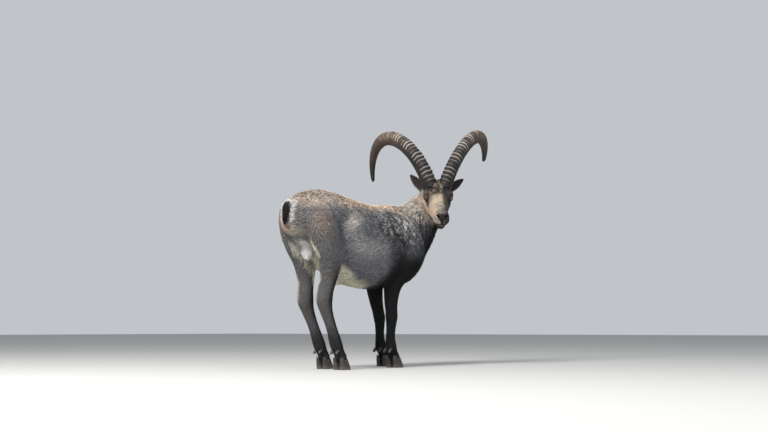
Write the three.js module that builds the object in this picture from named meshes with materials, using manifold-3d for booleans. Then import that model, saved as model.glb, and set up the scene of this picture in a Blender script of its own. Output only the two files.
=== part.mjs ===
// Adult male alpine ibex, standing and looking back over its right shoulder.
// Millimetres, +X towards the chest, +Y to the animal's left, +Z up, standing on z = 0.
import * as THREE from "three";
import { mergeVertices } from "three/addons/utils/BufferGeometryUtils.js";
import Module from "manifold-3d";

const wasm = await Module();
wasm.setup();

// Driving dimensions
const gap = 0.35; // clearance between pieces that meet
const pivotHeight = 800; // legs swing about the hip and the shoulder blade at this height
const swing = { foreRight: 0, foreLeft: 130, hindRight: 0, hindLeft: 52 }; // each foot's step forward
const foreFoot = { x: 136, y: 82 }; // where the right fore foot stands
const hindFoot = { x: -275, y: 76 };
const headScale = 1.12; // a large old male's head
const headPose = { x: 409, y: -198, z: 905, turn: -138.6, nod: 28.8, tilt: -0.7 };
const hornLength = 971; // along the curve
// First lean and spread in degrees. Bend and twist in radians are series in the share of the length.
const hornShape = {
  right: { lean: 30.5, spread: 21.6, bend: [2.206, 0.721, -0.337], twist: [1.677, -1.476] },
  left: { lean: 31.9, spread: 22.3, bend: [1.965, 0.461, -0.459], twist: [1.567, -1.196] },
};
const hornBase = { x: -57, y: 41, z: 55, halfDepth: 41, halfWidth: 30 };
const hornKnobs = 30;
const knobShare = 0.7; // the share of the length that has knobs
const knobHeight = 7;
const hornRoot = 24; // how far the horns go down into the skull's pockets
const eyeBall = { x: 8, y: 54, z: 10, radius: 17, turn: 38 }; // turn is forward from straight sideways
const earLength = 106;

// Small vector helpers
const vec = (x, y, z) => new THREE.Vector3(x, y, z);
const degrees = THREE.MathUtils.degToRad;

// Rows of numbers, smoothed by Catmull-Rom into "steps" spans for each given span.
function smooth(rows, steps) {
  const row = (i) => {
    if (i < 0) return rows[0].map((v, k) => 2 * v - rows[1][k]);
    if (i >= rows.length) return rows.at(-1).map((v, k) => 2 * v - rows.at(-2)[k]);
    return rows[i];
  };
  const out = [];
  for (let n = 0; n <= (rows.length - 1) * steps; n++) {
    const i = Math.min(Math.floor(n / steps), rows.length - 2);
    const t = n / steps - i;
    const [a, b, c, d] = [row(i - 1), row(i), row(i + 1), row(i + 2)];
    out.push(b.map((v, k) => {
      const start = (c[k] - a[k]) / 2;
      const end = (d[k] - v) / 2;
      const rise = c[k] - v;
      return v + t * (start + t * (3 * rise - 2 * start - end + t * (start + end - 2 * rise)));
    }));
  }
  return out;
}

// One closed cross-section: a superellipse with its own reach up, down and to both sides.
function section({ at, across, up, half, top, bottom, square = 2, count }) {
  const power = (v) => Math.sign(v) * Math.abs(v) ** (2 / square);
  return Array.from({ length: count }, (_, i) => {
    const angle = ((i + 0.5) / count) * 2 * Math.PI;
    const rise = power(Math.sin(angle));
    return at
      .clone()
      .addScaledVector(across, half * power(Math.cos(angle)))
      .addScaledVector(up, rise * (rise > 0 ? top : bottom));
  });
}

// A closed mesh through a list of cross-sections, with a fan over each end.
function loft(rings) {
  const count = rings[0].length;
  const centre = (ring) => ring.reduce((sum, p) => sum.add(p), vec(0, 0, 0)).divideScalar(count);
  const points = [...rings.flat(), centre(rings[0]), centre(rings.at(-1))];
  const faces = [];
  const last = (rings.length - 1) * count;
  for (let i = 0; i < count; i++) {
    const j = (i + 1) % count;
    for (let r = 0; r < last; r += count) {
      faces.push(r + i, r + j, r + count + j, r + i, r + count + j, r + count + i);
    }
    faces.push(points.length - 2, j, i, points.length - 1, last + i, last + j);
  }
  return new THREE.BufferGeometry().setFromPoints(points).setIndex(faces);
}

// Geometry to an exact solid and back
function solid(geometry) {
  const bare = geometry.clone();
  bare.deleteAttribute("normal");
  bare.deleteAttribute("uv");
  const merged = mergeVertices(bare, 1e-3);
  const make = (triVerts) =>
    new wasm.Manifold(
      new wasm.Mesh({ numProp: 3, vertProperties: merged.attributes.position.array, triVerts }),
    );
  const faces = new Uint32Array(merged.index.array);
  const made = make(faces);
  return made.volume() > 0 ? made : make(faces.reverse());
}

function largest(made) {
  return made.decompose().sort((a, b) => b.volume() - a.volume())[0];
}

function geometryOf(made) {
  const { vertProperties, numProp, numVert, triVerts } = largest(made).getMesh();
  const positions = new Float32Array(numVert * 3);
  for (let i = 0; i < numVert; i++) {
    positions.set(vertProperties.subarray(i * numProp, i * numProp + 3), i * 3);
  }
  const geometry = new THREE.BufferGeometry();
  geometry.setAttribute("position", new THREE.BufferAttribute(positions, 3));
  geometry.setIndex(new THREE.BufferAttribute(triVerts, 1));
  geometry.computeVertexNormals();
  return geometry;
}

// An eyeball with its back cut flat
function eyeSolid(side, grow) {
  const radii = new Array(3).fill(eyeBall.radius + grow);
  const whole = ball([eyeBall.x, side * eyeBall.y, eyeBall.z], radii, 16, 10);
  const ahead = vec(Math.sin(degrees(eyeBall.turn)), side * Math.cos(degrees(eyeBall.turn)), 0);
  const depth = ahead.dot(vec(eyeBall.x, side * eyeBall.y, 0)) - 4 - grow;
  return whole.trimByPlane(ahead.toArray(), depth);
}

function ball(centre, radii, wide = 18, high = 12) {
  const sphere = new THREE.SphereGeometry(1, wide, high);
  sphere.scale(radii[0], radii[1], radii[2]);
  sphere.translate(...centre);
  return solid(sphere);
}

const join = (first, ...others) => others.reduce((sum, one) => sum.add(one), first);
const cut = (first, ...others) => others.reduce((rest, one) => rest.subtract(one), first);

// Torso: x, back, belly, height of the widest line, half width, squareness
const trunkRows = [
  [-598, 782, 708, 748, 36, 2.0],
  [-574, 822, 660, 746, 70, 2.1],
  [-510, 862, 622, 735, 96, 2.1],
  [-430, 889, 580, 715, 112, 2.0],
  [-330, 898, 494, 690, 128, 2.0],
  [-215, 884, 436, 660, 146, 2.1],
  [-90, 864, 412, 635, 163, 2.1],
  [50, 857, 402, 620, 174, 2.1],
  [180, 868, 412, 615, 158, 2.1],
  [280, 874, 428, 620, 136, 2.0],
  [372, 848, 444, 625, 119, 2.0],
  [438, 772, 498, 628, 98, 2.0],
  [480, 702, 560, 632, 58, 2.0],
];

function buildTrunk() {
  const rings = smooth(trunkRows, 2).map(([x, back, belly, wide, half, square]) =>
    section({
      at: vec(x, 0, wide),
      across: vec(0, 1, 0),
      up: vec(0, 0, 1),
      half,
      top: back - wide,
      bottom: wide - belly,
      square,
      count: 24,
    }),
  );
  const sheath = ball([-215, 0, 452], [52, 26, 34], 12, 8);
  return join(solid(loft(rings)), sheath);
}

// Neck: path x, y, z, nape, throat, half width. The path bends to the right as it rises.
const neckRows = [
  [225, 0, 645, 186, 190, 120],
  [305, -6, 700, 176, 192, 126],
  [378, -24, 765, 140, 182, 116],
  [434, -56, 832, 104, 146, 100],
  [468, -92, 896, 82, 110, 86],
  [478, -118, 938, 66, 86, 72],
];

// The same rows, x, y, z first, with both ends of the path moved outwards
function lengthen(rows, by) {
  const moved = (end, next) => {
    const out = vec(...end).sub(vec(...next)).setLength(by);
    return [end[0] + out.x, end[1] + out.y, end[2] + out.z, ...end.slice(3)];
  };
  return [moved(rows[0], rows[1]), ...rows.slice(1, -1), moved(rows.at(-1), rows.at(-2))];
}

// Sections square to a path of rows that start with x, y, z
function along(rows, front, shape) {
  const at = rows.map(([x, y, z]) => vec(x, y, z));
  return rows.map((row, i) => {
    const ahead = at[Math.min(i + 1, at.length - 1)].clone().sub(at[Math.max(i - 1, 0)]).normalize();
    const up = front.clone().addScaledVector(ahead, -front.dot(ahead)).normalize();
    return section({ at: at[i], up, across: ahead.clone().cross(up), ...shape(row) });
  });
}

function buildNeck() {
  const nape = vec(-0.8, 0.35, 0.6);
  const rings = along(smooth(neckRows, 2), nape, ([, , , top, bottom, half]) => ({
    top,
    bottom,
    half,
    square: 2,
    count: 20,
  }));
  return solid(loft(rings));
}

// Legs: x and y from the foot, z, reach forward, reach back, half width
const foreRows = [
  [108, -30, 812, 46, 52, 28],
  [124, 14, 735, 86, 96, 52],
  [136, 34, 650, 102, 106, 62],
  [106, 36, 565, 98, 90, 60],
  [38, 24, 490, 72, 70, 52],
  [0, 14, 425, 54, 58, 46],
  [-8, 7, 350, 42, 43, 38],
  [-2, 4, 296, 37, 36, 33],
  [2, 2, 262, 38, 35, 34],
  [1, 1, 222, 30, 31, 29],
  [-3, 0, 165, 27, 30, 26],
  [1, 0, 108, 32, 36, 32],
  [17, 0, 76, 28, 29, 29],
  [30, 0, 50, 32, 30, 35],
];
const foreKnee = 8; // the row where the upper and the lower fore leg part
const hindRows = [
  [-153, -36, 832, 56, 54, 30],
  [-180, 2, 772, 104, 90, 50],
  [-178, 12, 700, 120, 86, 57],
  [-146, 20, 620, 118, 78, 58],
  [-111, 22, 555, 94, 72, 52],
  [-104, 17, 490, 62, 62, 46],
  [-110, 11, 430, 46, 52, 40],
  [-122, 6, 388, 43, 50, 39],
  [-127, 3, 345, 46, 52, 39],
  [-112, 2, 292, 35, 39, 32],
  [-74, 1, 215, 29, 32, 28],
  [-32, 0, 125, 34, 37, 33],
  [-10, 0, 86, 29, 30, 30],
  [9, 0, 52, 33, 31, 36],
];
const hindHock = 9;

// How far a leg's step carries it forward at a height
const carried = (step, z) => step * (1 - (z / pivotHeight) * Math.abs(z / pivotHeight));

function legRings(rows, foot, side, step, grow) {
  const placed = smooth(rows, 2).map(([x, y, z, fore, aft, half]) => [
    foot.x + x + carried(step, z),
    side * (foot.y + y),
    z,
    fore + grow,
    aft + grow,
    half + grow,
  ]);
  return along(lengthen(placed, grow), vec(1, 0, 0), ([, , , top, bottom, half]) => ({
    top,
    bottom,
    half,
    square: 2.1,
    count: 12,
  }));
}

function dewclaws(foot, side, step, x) {
  const height = 98;
  return [-1, 1].map((out) => {
    const at = vec(foot.x + x + carried(step, height), side * foot.y + out * 15, height);
    const rings = [0, 0.5, 1].map((t) =>
      section({
        at: at.clone().add(vec(-24 * t, out * 3 * t, -22 * t)),
        across: vec(0, 1, 0),
        up: vec(0.6, 0, -0.8),
        half: 10 - 4 * t,
        top: 9 - 4 * t,
        bottom: 9 - 4 * t,
        count: 8,
      }),
    );
    return solid(loft(rings));
  });
}

// A leg as one closed solid to cut pockets with, and as its upper and lower pieces.
function buildLeg(rows, partRow, foot, side, step, clawX) {
  const rings = legRings(rows, foot, side, step, 0);
  const parting = rings[partRow * 2];
  const below = rings[partRow * 2 + 1];
  const lowered = parting.map((p, i) => p.clone().lerp(below[i], gap / p.distanceTo(below[i])));
  const lower = solid(loft([lowered, ...rings.slice(partRow * 2 + 1)]));
  return {
    pocket: solid(loft(legRings(rows, foot, side, step, gap))),
    upper: solid(loft(rings.slice(0, partRow * 2 + 1))),
    lower: join(lower, ...dewclaws(foot, side, step, clawX)),
  };
}

// One toe of a cloven hoof, cut clear of the leg above it. out is 1 for the outer toe, -1 for the inner.
function buildToe(rows, foot, side, step, out, length, pocket) {
  const [x] = rows.at(-1);
  const centre = vec(foot.x + x + carried(step, 40), side * foot.y + out * 19, 0);
  const rings = [
    [0, 0, 1],
    [8, -1, 1.02],
    [26, -6, 0.92],
    [46, -12, 0.8],
    [62, -16, 0.66],
  ].map(([z, back, size]) =>
    section({
      at: centre.clone().add(vec(back, 0, z)),
      across: vec(0, 1, 0),
      up: vec(1, -out * 0.06, 0).normalize(),
      half: 17.5 * size,
      top: length * 0.62 * size,
      bottom: length * 0.38 * size,
      square: 2.3,
      count: 12,
    }),
  );
  return cut(solid(loft(rings)), pocket);
}

// Head, in its own frame: +X to the nose, +Z to the crown, the eyes at x = 0.
// x, height of the widest line, half width, reach up, reach down, squareness
const headRows = [
  [-126, 0, 44, 34, 48, 2.0],
  [-108, -4, 64, 58, 76, 2.1],
  [-72, -8, 74, 76, 100, 2.2],
  [-34, -12, 73, 78, 98, 2.3],
  [2, -16, 63, 72, 88, 2.4],
  [38, -20, 52, 60, 75, 2.4],
  [76, -26, 44, 50, 62, 2.3],
  [114, -31, 38, 45, 50, 2.3],
  [146, -34, 38, 44, 41, 2.3],
  [168, -35, 38, 42, 36, 2.3],
  [185, -36, 31, 35, 29, 2.2],
  [195, -37, 16, 19, 18, 2.0],
];
const headCount = 24;

function headLoft(inset, steps = 2) {
  const rings = smooth(headRows, steps).map(([x, wide, half, top, bottom, square]) =>
    section({
      at: vec(x, 0, wide),
      across: vec(0, 1, 0),
      up: vec(0, 0, 1),
      half: half - inset,
      top: top - inset,
      bottom: bottom - inset,
      square,
      count: headCount,
    }),
  );
  return solid(loft(rings));
}

// A pointed lens pushed through along the eye's axis: the opening between the lids
function lidOpening(side) {
  const lens = new THREE.Shape();
  lens.moveTo(-16, -3);
  lens.quadraticCurveTo(-2, 15, 17, 2);
  lens.quadraticCurveTo(0, -13, -16, -3);
  const bar = new THREE.ExtrudeGeometry(lens, { depth: 40, bevelEnabled: false, curveSegments: 7 });
  bar.rotateX(Math.PI / 2);
  bar.scale(1, -1, 1);
  bar.rotateZ(degrees(-eyeBall.turn));
  bar.translate(eyeBall.x, eyeBall.y, eyeBall.z);
  bar.scale(1, side, 1);
  return solid(bar);
}

function mouthGroove() {
  const lips = new THREE.Shape();
  lips.moveTo(92, -64);
  lips.quadraticCurveTo(130, -69, 150, -61);
  lips.quadraticCurveTo(175, -56, 200, -58);
  lips.lineTo(200, -61.5);
  lips.quadraticCurveTo(175, -60, 150, -65);
  lips.quadraticCurveTo(130, -73, 92, -67);
  const plate = new THREE.ExtrudeGeometry(lips, { depth: 120, bevelEnabled: false, curveSegments: 5 });
  plate.rotateX(Math.PI / 2);
  plate.translate(0, 60, 4);
  return cut(solid(plate), headLoft(6, 1));
}

// Short tapered locks, fused to what they grow from
function lock(root, tip, width, thick) {
  const ahead = tip.clone().sub(root).normalize();
  const across = ahead.clone().cross(vec(1, 0, 0.01)).normalize();
  const up = across.clone().cross(ahead);
  const rings = [
    [0, 0.8],
    [0.45, 1],
    [0.8, 0.55],
    [1, 0.12],
  ].map(([t, size]) =>
    section({
      at: root.clone().lerp(tip, t).add(vec(-10 * t * t, 0, 0)),
      across,
      up,
      half: (width / 2) * size,
      top: (thick / 2) * size,
      bottom: (thick / 2) * size,
      count: 6,
    }),
  );
  return solid(loft(rings));
}

function beard() {
  const locks = [];
  for (let row = 0; row < 3; row++) {
    for (let i = -1; i <= 1; i++) {
      const root = vec(150 - row * 26, i * (13 + row * 2), -66);
      const tip = root.clone().add(vec(-14 - row * 4, i * 6, -24 - 6 * (1 - Math.abs(i)) + row * 2));
      locks.push(lock(root, tip, 17, 9));
    }
  }
  return locks;
}

function buildHead(pockets) {
  const both = (make) => [-1, 1].map(make);
  const lidRadii = new Array(3).fill(eyeBall.radius + 3.4);
  const brows = both((side) => ball([-6, side * 53, 18], [37, 25, 28], 12, 8));
  const lids = both((side) => ball([eyeBall.x, side * eyeBall.y, eyeBall.z], lidRadii, 16, 10));
  const muzzle = both((side) => ball([163, side * 15, -41], [29, 20, 22], 12, 8));
  const chin = ball([156, 0, -69], [29, 21, 14], 12, 8);
  const sockets = both((side) => eyeSolid(side, gap));
  const nostrils = both((side) => ball([186, side * 19, -13], [15, 8, 6.5], 10, 6));
  const tuft = ball([-34, 0, 56], [38, 30, 16], 12, 8);
  const whole = join(headLoft(0), ...brows, ...lids, ...muzzle, chin, tuft, ...beard());
  return cut(whole, ...sockets, ...both(lidOpening), ...nostrils, mouthGroove(), ...pockets);
}

// Ear: a leaf with a deep cup. Crescent sections along its length; grow makes its pocket, with no cup.
function buildEar(side, grow) {
  const root = vec(-96, side * 58, 2);
  const ahead = side < 0 ? vec(-0.42, -0.62, 0.6) : vec(-0.4, 0.76, 0.46);
  ahead.normalize();
  const open = vec(0.8, side * 0.5, 0.1);
  open.addScaledVector(ahead, -open.dot(ahead)).normalize();
  const across = ahead.clone().cross(open);
  const rings = smooth(
    [
      [-0.12 - grow * 0.02, 15, 15, 0],
      [0.04, 17, 18, 0.1],
      [0.2, 22, 20, 0.72],
      [0.45, 25, 17, 0.8],
      [0.7, 20, 12, 0.78],
      [0.9, 10, 6, 0.6],
      [1, 2.5, 2.2, 0],
    ],
    2,
  ).map(([t, half, deep, cup]) => {
    const hollow = grow > 0 ? 0 : cup;
    const at = root.clone().addScaledVector(ahead, t * earLength);
    const steps = [-1, -0.8, -0.45, 0, 0.45, 0.8, 1];
    const point = (u, width, depth, lift) =>
      at
        .clone()
        .addScaledVector(across, u * width)
        .addScaledVector(open, lift - depth * (1 - u * u));
    const inside = Math.max(half - 2.2, 0.8) + grow;
    const outer = steps.map((u) => point(u, half + grow, deep + 2, -grow));
    const inner = steps.map((u) => point(u, inside, deep * hollow - 1.4, 2 + grow));
    return [...outer, ...inner.reverse()];
  });
  return solid(loft(rings));
}

// Horn: a bent and twisted sweep with cross knobs on its front face
function buildHorn(side, grow) {
  const { lean, spread, bend, twist } = hornShape[side < 0 ? "right" : "left"];
  const aslant = degrees(spread);
  const length = hornLength / headScale;
  const marks = [[-(hornRoot + grow) / length, 0]];
  for (let i = 0; i < hornKnobs * 2; i++) {
    marks.push([(i / (hornKnobs * 2)) * knobShare, i % 2]);
  }
  for (let i = 0; i <= 6; i++) {
    marks.push([knobShare + ((0.98 - knobShare) * i) / 6, 0]);
  }
  marks.push([1, 0]);
  const aside = vec(0, side * Math.cos(aslant), -Math.sin(aslant));
  const heading = (s) => {
    const turn = degrees(lean) + bend[0] * s + bend[1] * s * s + bend[2] * s ** 3;
    const roll = twist[0] * s + twist[1] * s * s;
    const level = vec(0, side * Math.sin(aslant), Math.cos(aslant)).multiplyScalar(Math.cos(turn));
    level.x = -Math.sin(turn);
    return level.multiplyScalar(Math.cos(roll)).addScaledVector(aside, Math.sin(roll));
  };
  const at = vec(hornBase.x, side * hornBase.y, hornBase.z).addScaledVector(heading(0), -hornRoot - grow);
  let done = marks[0][0];
  const rings = marks.map(([s, crest], i) => {
    while (done < s - 1e-9) {
      const step = Math.min(0.004, s - done);
      at.addScaledVector(heading(Math.max(0, done + step / 2)), step * length);
      done += step;
    }
    const ahead = heading(Math.max(s, 0));
    const curl = heading(Math.min(1, Math.max(s, 0) + 0.02)).sub(heading(Math.max(0, s - 0.02)));
    const front = curl.addScaledVector(ahead, -curl.dot(ahead)).normalize().negate();
    const blunt = s > 0.99 ? 0.55 : 1;
    const taper = (1 - 0.3 * s - 0.45 * Math.max(s, 0) ** 3.6) * blunt;
    const fade = Math.min(1, (knobShare - s) / 0.3);
    const knob = crest * knobHeight * taper * Math.max(fade, 0) * (0.8 + 0.2 * Math.sin(i * 2.4));
    return section({
      at: at.clone(),
      across: ahead.clone().cross(front),
      up: front,
      half: hornBase.halfWidth * taper + 0.3 * knob + grow,
      top: hornBase.halfDepth * taper + knob + grow,
      bottom: hornBase.halfDepth * taper + grow,
      square: 2.5,
      count: 10,
    });
  });
  return solid(loft(rings));
}

function buildTail(grow) {
  const rows = [
    [-568, -3, 806, 19, 19, 21],
    [-598, -6, 796, 16, 16, 18],
    [-618, -9, 760, 12, 13, 16],
    [-622, -11, 722, 10, 10, 13],
    [-620, -12, 694, 6, 6, 9],
  ];
  const rings = along(
    lengthen(smooth(rows, 2), grow),
    vec(-1, 0, 0.2),
    ([, , , top, bottom, half]) => ({
      top: top + grow,
      bottom: bottom + grow,
      half: half + grow,
      square: 2,
      count: 10,
    }),
  );
  const locks = [-1, 0, 1].flatMap((i) =>
    [0, 1].map((row) =>
      lock(
        vec(-620, i * 5 - 11, 728 - row * 12),
        vec(-617 + row * 2, i * 8 - 12, 680 - row * 12),
        13,
        8,
      ),
    ),
  );
  return join(solid(loft(rings)), ...locks);
}

// Assembly
const hair = (colour) => new THREE.MeshStandardMaterial({ color: colour, roughness: 0.95 });
const coat = hair(0x8c7b6c);
const darkCoat = hair(0x33292a);
const paleCoat = hair(0xc9beb0);
const horn = new THREE.MeshStandardMaterial({ color: 0x4a3f38, roughness: 0.7 });
const hoof = new THREE.MeshStandardMaterial({ color: 0x1d1a19, roughness: 0.55 });
const eye = new THREE.MeshStandardMaterial({ color: 0x5a3b16, roughness: 0.15 });

const ibex = new THREE.Group();
function place(parent, name, made, material) {
  const mesh = new THREE.Mesh(geometryOf(made), material);
  mesh.name = name;
  parent.add(mesh);
}

const headGroup = new THREE.Group();
headGroup.position.set(headPose.x, headPose.y, headPose.z);
headGroup.rotation.set(degrees(headPose.tilt), degrees(headPose.nod), degrees(headPose.turn), "ZYX");
headGroup.scale.setScalar(headScale);
headGroup.updateMatrix();

const fore = { name: "fore", rows: foreRows, part: foreKnee, foot: foreFoot, claw: -22, hoof: 84 };
const hind = { name: "hind", rows: hindRows, part: hindHock, foot: hindFoot, claw: -34, hoof: 78 };
const sides = [
  [-1, "right"],
  [1, "left"],
];
const pockets = [];
for (const { name, rows, part, foot, claw, hoof: length } of [fore, hind]) {
  for (const [side, word] of sides) {
    const step = swing[name + (side < 0 ? "Right" : "Left")];
    const leg = buildLeg(rows, part, foot, side, step, claw);
    pockets.push(leg.pocket);
    place(ibex, `${name}leg_upper_${word}`, leg.upper, darkCoat);
    place(ibex, `${name}leg_lower_${word}`, leg.lower, darkCoat);
    for (const out of [-1, 1]) {
      const toe = out === side ? "outer" : "inner";
      const made = buildToe(rows, foot, side, step, out, length, leg.pocket);
      place(ibex, `hoof_${name}_${word}_${toe}`, made, hoof);
    }
  }
}

const scrotum = (grow) => ball([-440, 0, 580], [36 + grow, 34 + grow, 52 + grow], 14, 10);
place(ibex, "scrotum", scrotum(0), paleCoat);

const toBody = headGroup.matrix.toArray();
const headPockets = sides.flatMap(([side]) => [buildHorn(side, gap), buildEar(side, 3 * gap)]);
const clear = [headLoft(-gap), ...headPockets].map((made) => made.transform(toBody));
const flesh = cut(join(buildTrunk(), buildNeck()), ...pockets, scrotum(gap), buildTail(gap), ...clear);
const neckPlane = new THREE.Plane();
neckPlane.setFromNormalAndCoplanarPoint(vec(0.7, -0.1, 0.7).normalize(), vec(350, 0, 740));
const trimmed = (made, { normal, constant }, sign, off) =>
  made.trimByPlane(normal.clone().multiplyScalar(sign).toArray(), -sign * constant + off);
place(ibex, "torso", trimmed(flesh, neckPlane, -1, 0), coat);
place(ibex, "neck", trimmed(flesh, neckPlane, 1, gap), coat);
place(ibex, "tail", buildTail(0), darkCoat);
place(headGroup, "head", buildHead(headPockets), coat);
for (const [side, word] of sides) {
  place(headGroup, `ear_${word}`, buildEar(side, 0), coat);
  place(headGroup, `horn_${word}`, buildHorn(side, 0), horn);
  place(headGroup, `eye_${word}`, eyeSolid(side, 0), eye);
}
ibex.add(headGroup);

// The origin is the middle of the bounding box's bottom face.
const box = new THREE.Box3().setFromObject(ibex, true);
const middle = box.getCenter(vec(0, 0, 0));
ibex.position.set(-middle.x, -middle.y, 0);
const model = new THREE.Group();
model.add(ibex);

export default model;
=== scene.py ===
import math
import bpy
import numpy as np
from mathutils import Matrix, Vector
from mathutils.bvhtree import BVHTree


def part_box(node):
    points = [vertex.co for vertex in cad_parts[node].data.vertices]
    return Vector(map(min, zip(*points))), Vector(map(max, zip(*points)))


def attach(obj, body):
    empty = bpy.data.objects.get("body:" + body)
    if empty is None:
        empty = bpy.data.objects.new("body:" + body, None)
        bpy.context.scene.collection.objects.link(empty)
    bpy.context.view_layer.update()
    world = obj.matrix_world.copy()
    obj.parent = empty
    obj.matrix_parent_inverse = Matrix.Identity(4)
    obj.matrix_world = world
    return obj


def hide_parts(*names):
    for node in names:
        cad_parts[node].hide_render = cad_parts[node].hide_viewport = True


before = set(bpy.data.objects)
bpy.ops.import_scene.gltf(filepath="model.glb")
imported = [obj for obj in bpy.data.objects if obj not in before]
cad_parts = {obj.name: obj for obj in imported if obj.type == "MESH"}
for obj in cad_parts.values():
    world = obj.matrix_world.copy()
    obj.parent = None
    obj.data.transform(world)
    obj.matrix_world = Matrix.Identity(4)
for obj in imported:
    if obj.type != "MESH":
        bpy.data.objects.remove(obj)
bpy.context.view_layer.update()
print("solids loaded:", len(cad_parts))

# Lengths are in millimetres from a point on the floor between the feet, until a mesh is made of them.
mm = 0.001
scrotumAt = (-440, 0, 580)  # its node tells where that point lies in the frame
low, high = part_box("scrotum")
standsAt = np.array([(a + b) / 2 for a, b in zip(low, high)]) - np.array(scrotumAt) * mm
chance = np.random.default_rng(11)


def toScene(points):
    return np.asarray(points, float) * mm + standsAt


def toBody(points):
    return (np.asarray(points, float) - standsAt) / mm


def unit(vectors):
    vectors = np.asarray(vectors, float)
    return vectors / np.maximum(np.linalg.norm(vectors, axis=-1, keepdims=True), 1e-9)


def ramp(value, start, end):
    t = np.clip((value - start) / (end - start), 0, 1)
    return t * t * (3 - 2 * t)


def spot(points, at, reach):
    return np.exp(-(((points - np.array(at, float)) / np.array(reach, float)) ** 2).sum(-1))


def pairSpot(points, at, reach):  # the same spot on the right and on the left
    return spot(points * [1, -1, 1], at, reach) + spot(points, at, reach)


def onSide(at, side):
    return np.array(at, float) * [1, side, 1]


def folded(points):  # the right side laid on the left
    return np.stack([points[:, 0], np.abs(points[:, 1]), points[:, 2]], 1)


def cloud(points, size, seed=0):  # a smooth random field from 0 to 1
    scaled = points / np.array(size, float) + seed * 17.31
    cell = np.floor(scaled).astype(np.int64)
    part = scaled - cell
    part = part * part * (3 - 2 * part)
    total = np.zeros(len(points))
    for corner in np.ndindex(2, 2, 2):
        c = cell + corner
        n = (c[:, 0] * 73856093) ^ (c[:, 1] * 19349663) ^ (c[:, 2] * 83492791)
        n = (n * (n * n * 15731 + 789221) + 1376312589) & 0x7FFFFFFF
        share = np.prod(np.where(corner, part, 1 - part), axis=1)
        total += share * (n / 0x7FFFFFFF)
    return total


# Head: +X to the nose and +Z to the crown in its own frame
headPose = {"at": (409, -198, 905), "turn": -138.6, "nod": 28.8, "tilt": -0.7, "scale": 1.12}
headTurn = np.array(
    Matrix.Rotation(math.radians(headPose["turn"]), 3, "Z")
    @ Matrix.Rotation(math.radians(headPose["nod"]), 3, "Y")
    @ Matrix.Rotation(math.radians(headPose["tilt"]), 3, "X")
)


def headToBody(points):
    return np.asarray(points, float) @ headTurn.T * headPose["scale"] + np.array(headPose["at"])


def bodyToHead(points):
    return (points - np.array(headPose["at"])) @ headTurn / headPose["scale"]


# Sections of the body. Each row: centre x, y, z, reach up, reach down, half width, squareness, coat depth
body = {
    "swing": {"foreRight": 0, "foreLeft": 130, "hindRight": 0, "hindLeft": 52},
    "pivotHeight": 800,
    "foreFoot": (136, 82),
    "hindFoot": (-275, 76),
    "voxel": 7.4,
    "headVoxel": 2.1,
    "sheath": ((-215, 0, 450), (46, 20, 28)),
    "scrotum": (scrotumAt, (33, 31, 49)),
}
trunkRows = [
    (-598, 782, 708, 748, 36, 2.0, 6),
    (-574, 822, 660, 746, 70, 2.1, 7),
    (-510, 862, 622, 735, 96, 2.1, 8),
    (-430, 889, 580, 715, 112, 2.0, 9),
    (-330, 898, 494, 690, 128, 2.0, 9),
    (-215, 884, 436, 660, 146, 2.1, 10),
    (-90, 864, 412, 635, 163, 2.1, 11),
    (50, 857, 402, 620, 174, 2.1, 12),
    (180, 868, 412, 615, 158, 2.1, 13),
    (280, 874, 428, 620, 136, 2.0, 14),
    (372, 848, 444, 625, 119, 2.0, 14),
    (438, 772, 498, 628, 98, 2.0, 12),
    (480, 702, 560, 632, 58, 2.0, 10),
]
trunkRows = [(x, 0, w, back - w, w - belly, half, sq, c) for x, back, belly, w, half, sq, c in trunkRows]
neckRows = [
    (225, 0, 645, 186, 190, 120, 2, 14),
    (305, -6, 700, 176, 192, 126, 2, 14),
    (378, -24, 765, 140, 182, 116, 2, 14),
    (434, -56, 832, 104, 146, 100, 2, 13),
    (468, -92, 896, 82, 110, 86, 2, 12),
    (478, -118, 938, 66, 86, 72, 2, 12),
]
foreRows = [
    (108, -30, 812, 46, 52, 28, 12),
    (124, 14, 735, 86, 96, 52, 12),
    (136, 34, 650, 102, 106, 62, 11),
    (106, 36, 565, 98, 90, 60, 9),
    (38, 24, 490, 72, 70, 52, 7),
    (0, 14, 425, 54, 58, 46, 6),
    (-8, 7, 350, 42, 43, 38, 5),
    (-2, 4, 296, 37, 36, 33, 4),
    (2, 2, 262, 38, 35, 34, 4),
    (1, 1, 222, 30, 31, 29, 4),
    (-3, 0, 165, 27, 30, 26, 4),
    (1, 0, 108, 32, 36, 32, 4),
    (17, 0, 76, 28, 29, 29, 4),
    (30, 0, 50, 32, 30, 35, 3),
]
hindRows = [
    (-153, -36, 832, 56, 54, 30, 9),
    (-180, 2, 772, 104, 90, 50, 9),
    (-178, 12, 700, 120, 86, 57, 9),
    (-146, 20, 620, 118, 78, 58, 8),
    (-111, 22, 555, 94, 72, 52, 7),
    (-104, 17, 490, 62, 62, 46, 6),
    (-110, 11, 430, 46, 52, 40, 5),
    (-122, 6, 388, 43, 50, 39, 4),
    (-127, 3, 345, 46, 52, 39, 4),
    (-112, 2, 292, 35, 39, 32, 4),
    (-74, 1, 215, 29, 32, 28, 4),
    (-32, 0, 125, 34, 37, 33, 4),
    (-10, 0, 86, 29, 30, 30, 4),
    (9, 0, 52, 33, 31, 36, 3),
]
tailRows = [
    (-568, -3, 806, 19, 19, 21, 2, 3),
    (-598, -6, 796, 16, 16, 18, 2, 4),
    (-618, -9, 760, 12, 13, 16, 2, 4),
    (-622, -11, 722, 10, 10, 13, 2, 4),
    (-620, -12, 694, 6, 6, 9, 2, 3),
]
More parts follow.
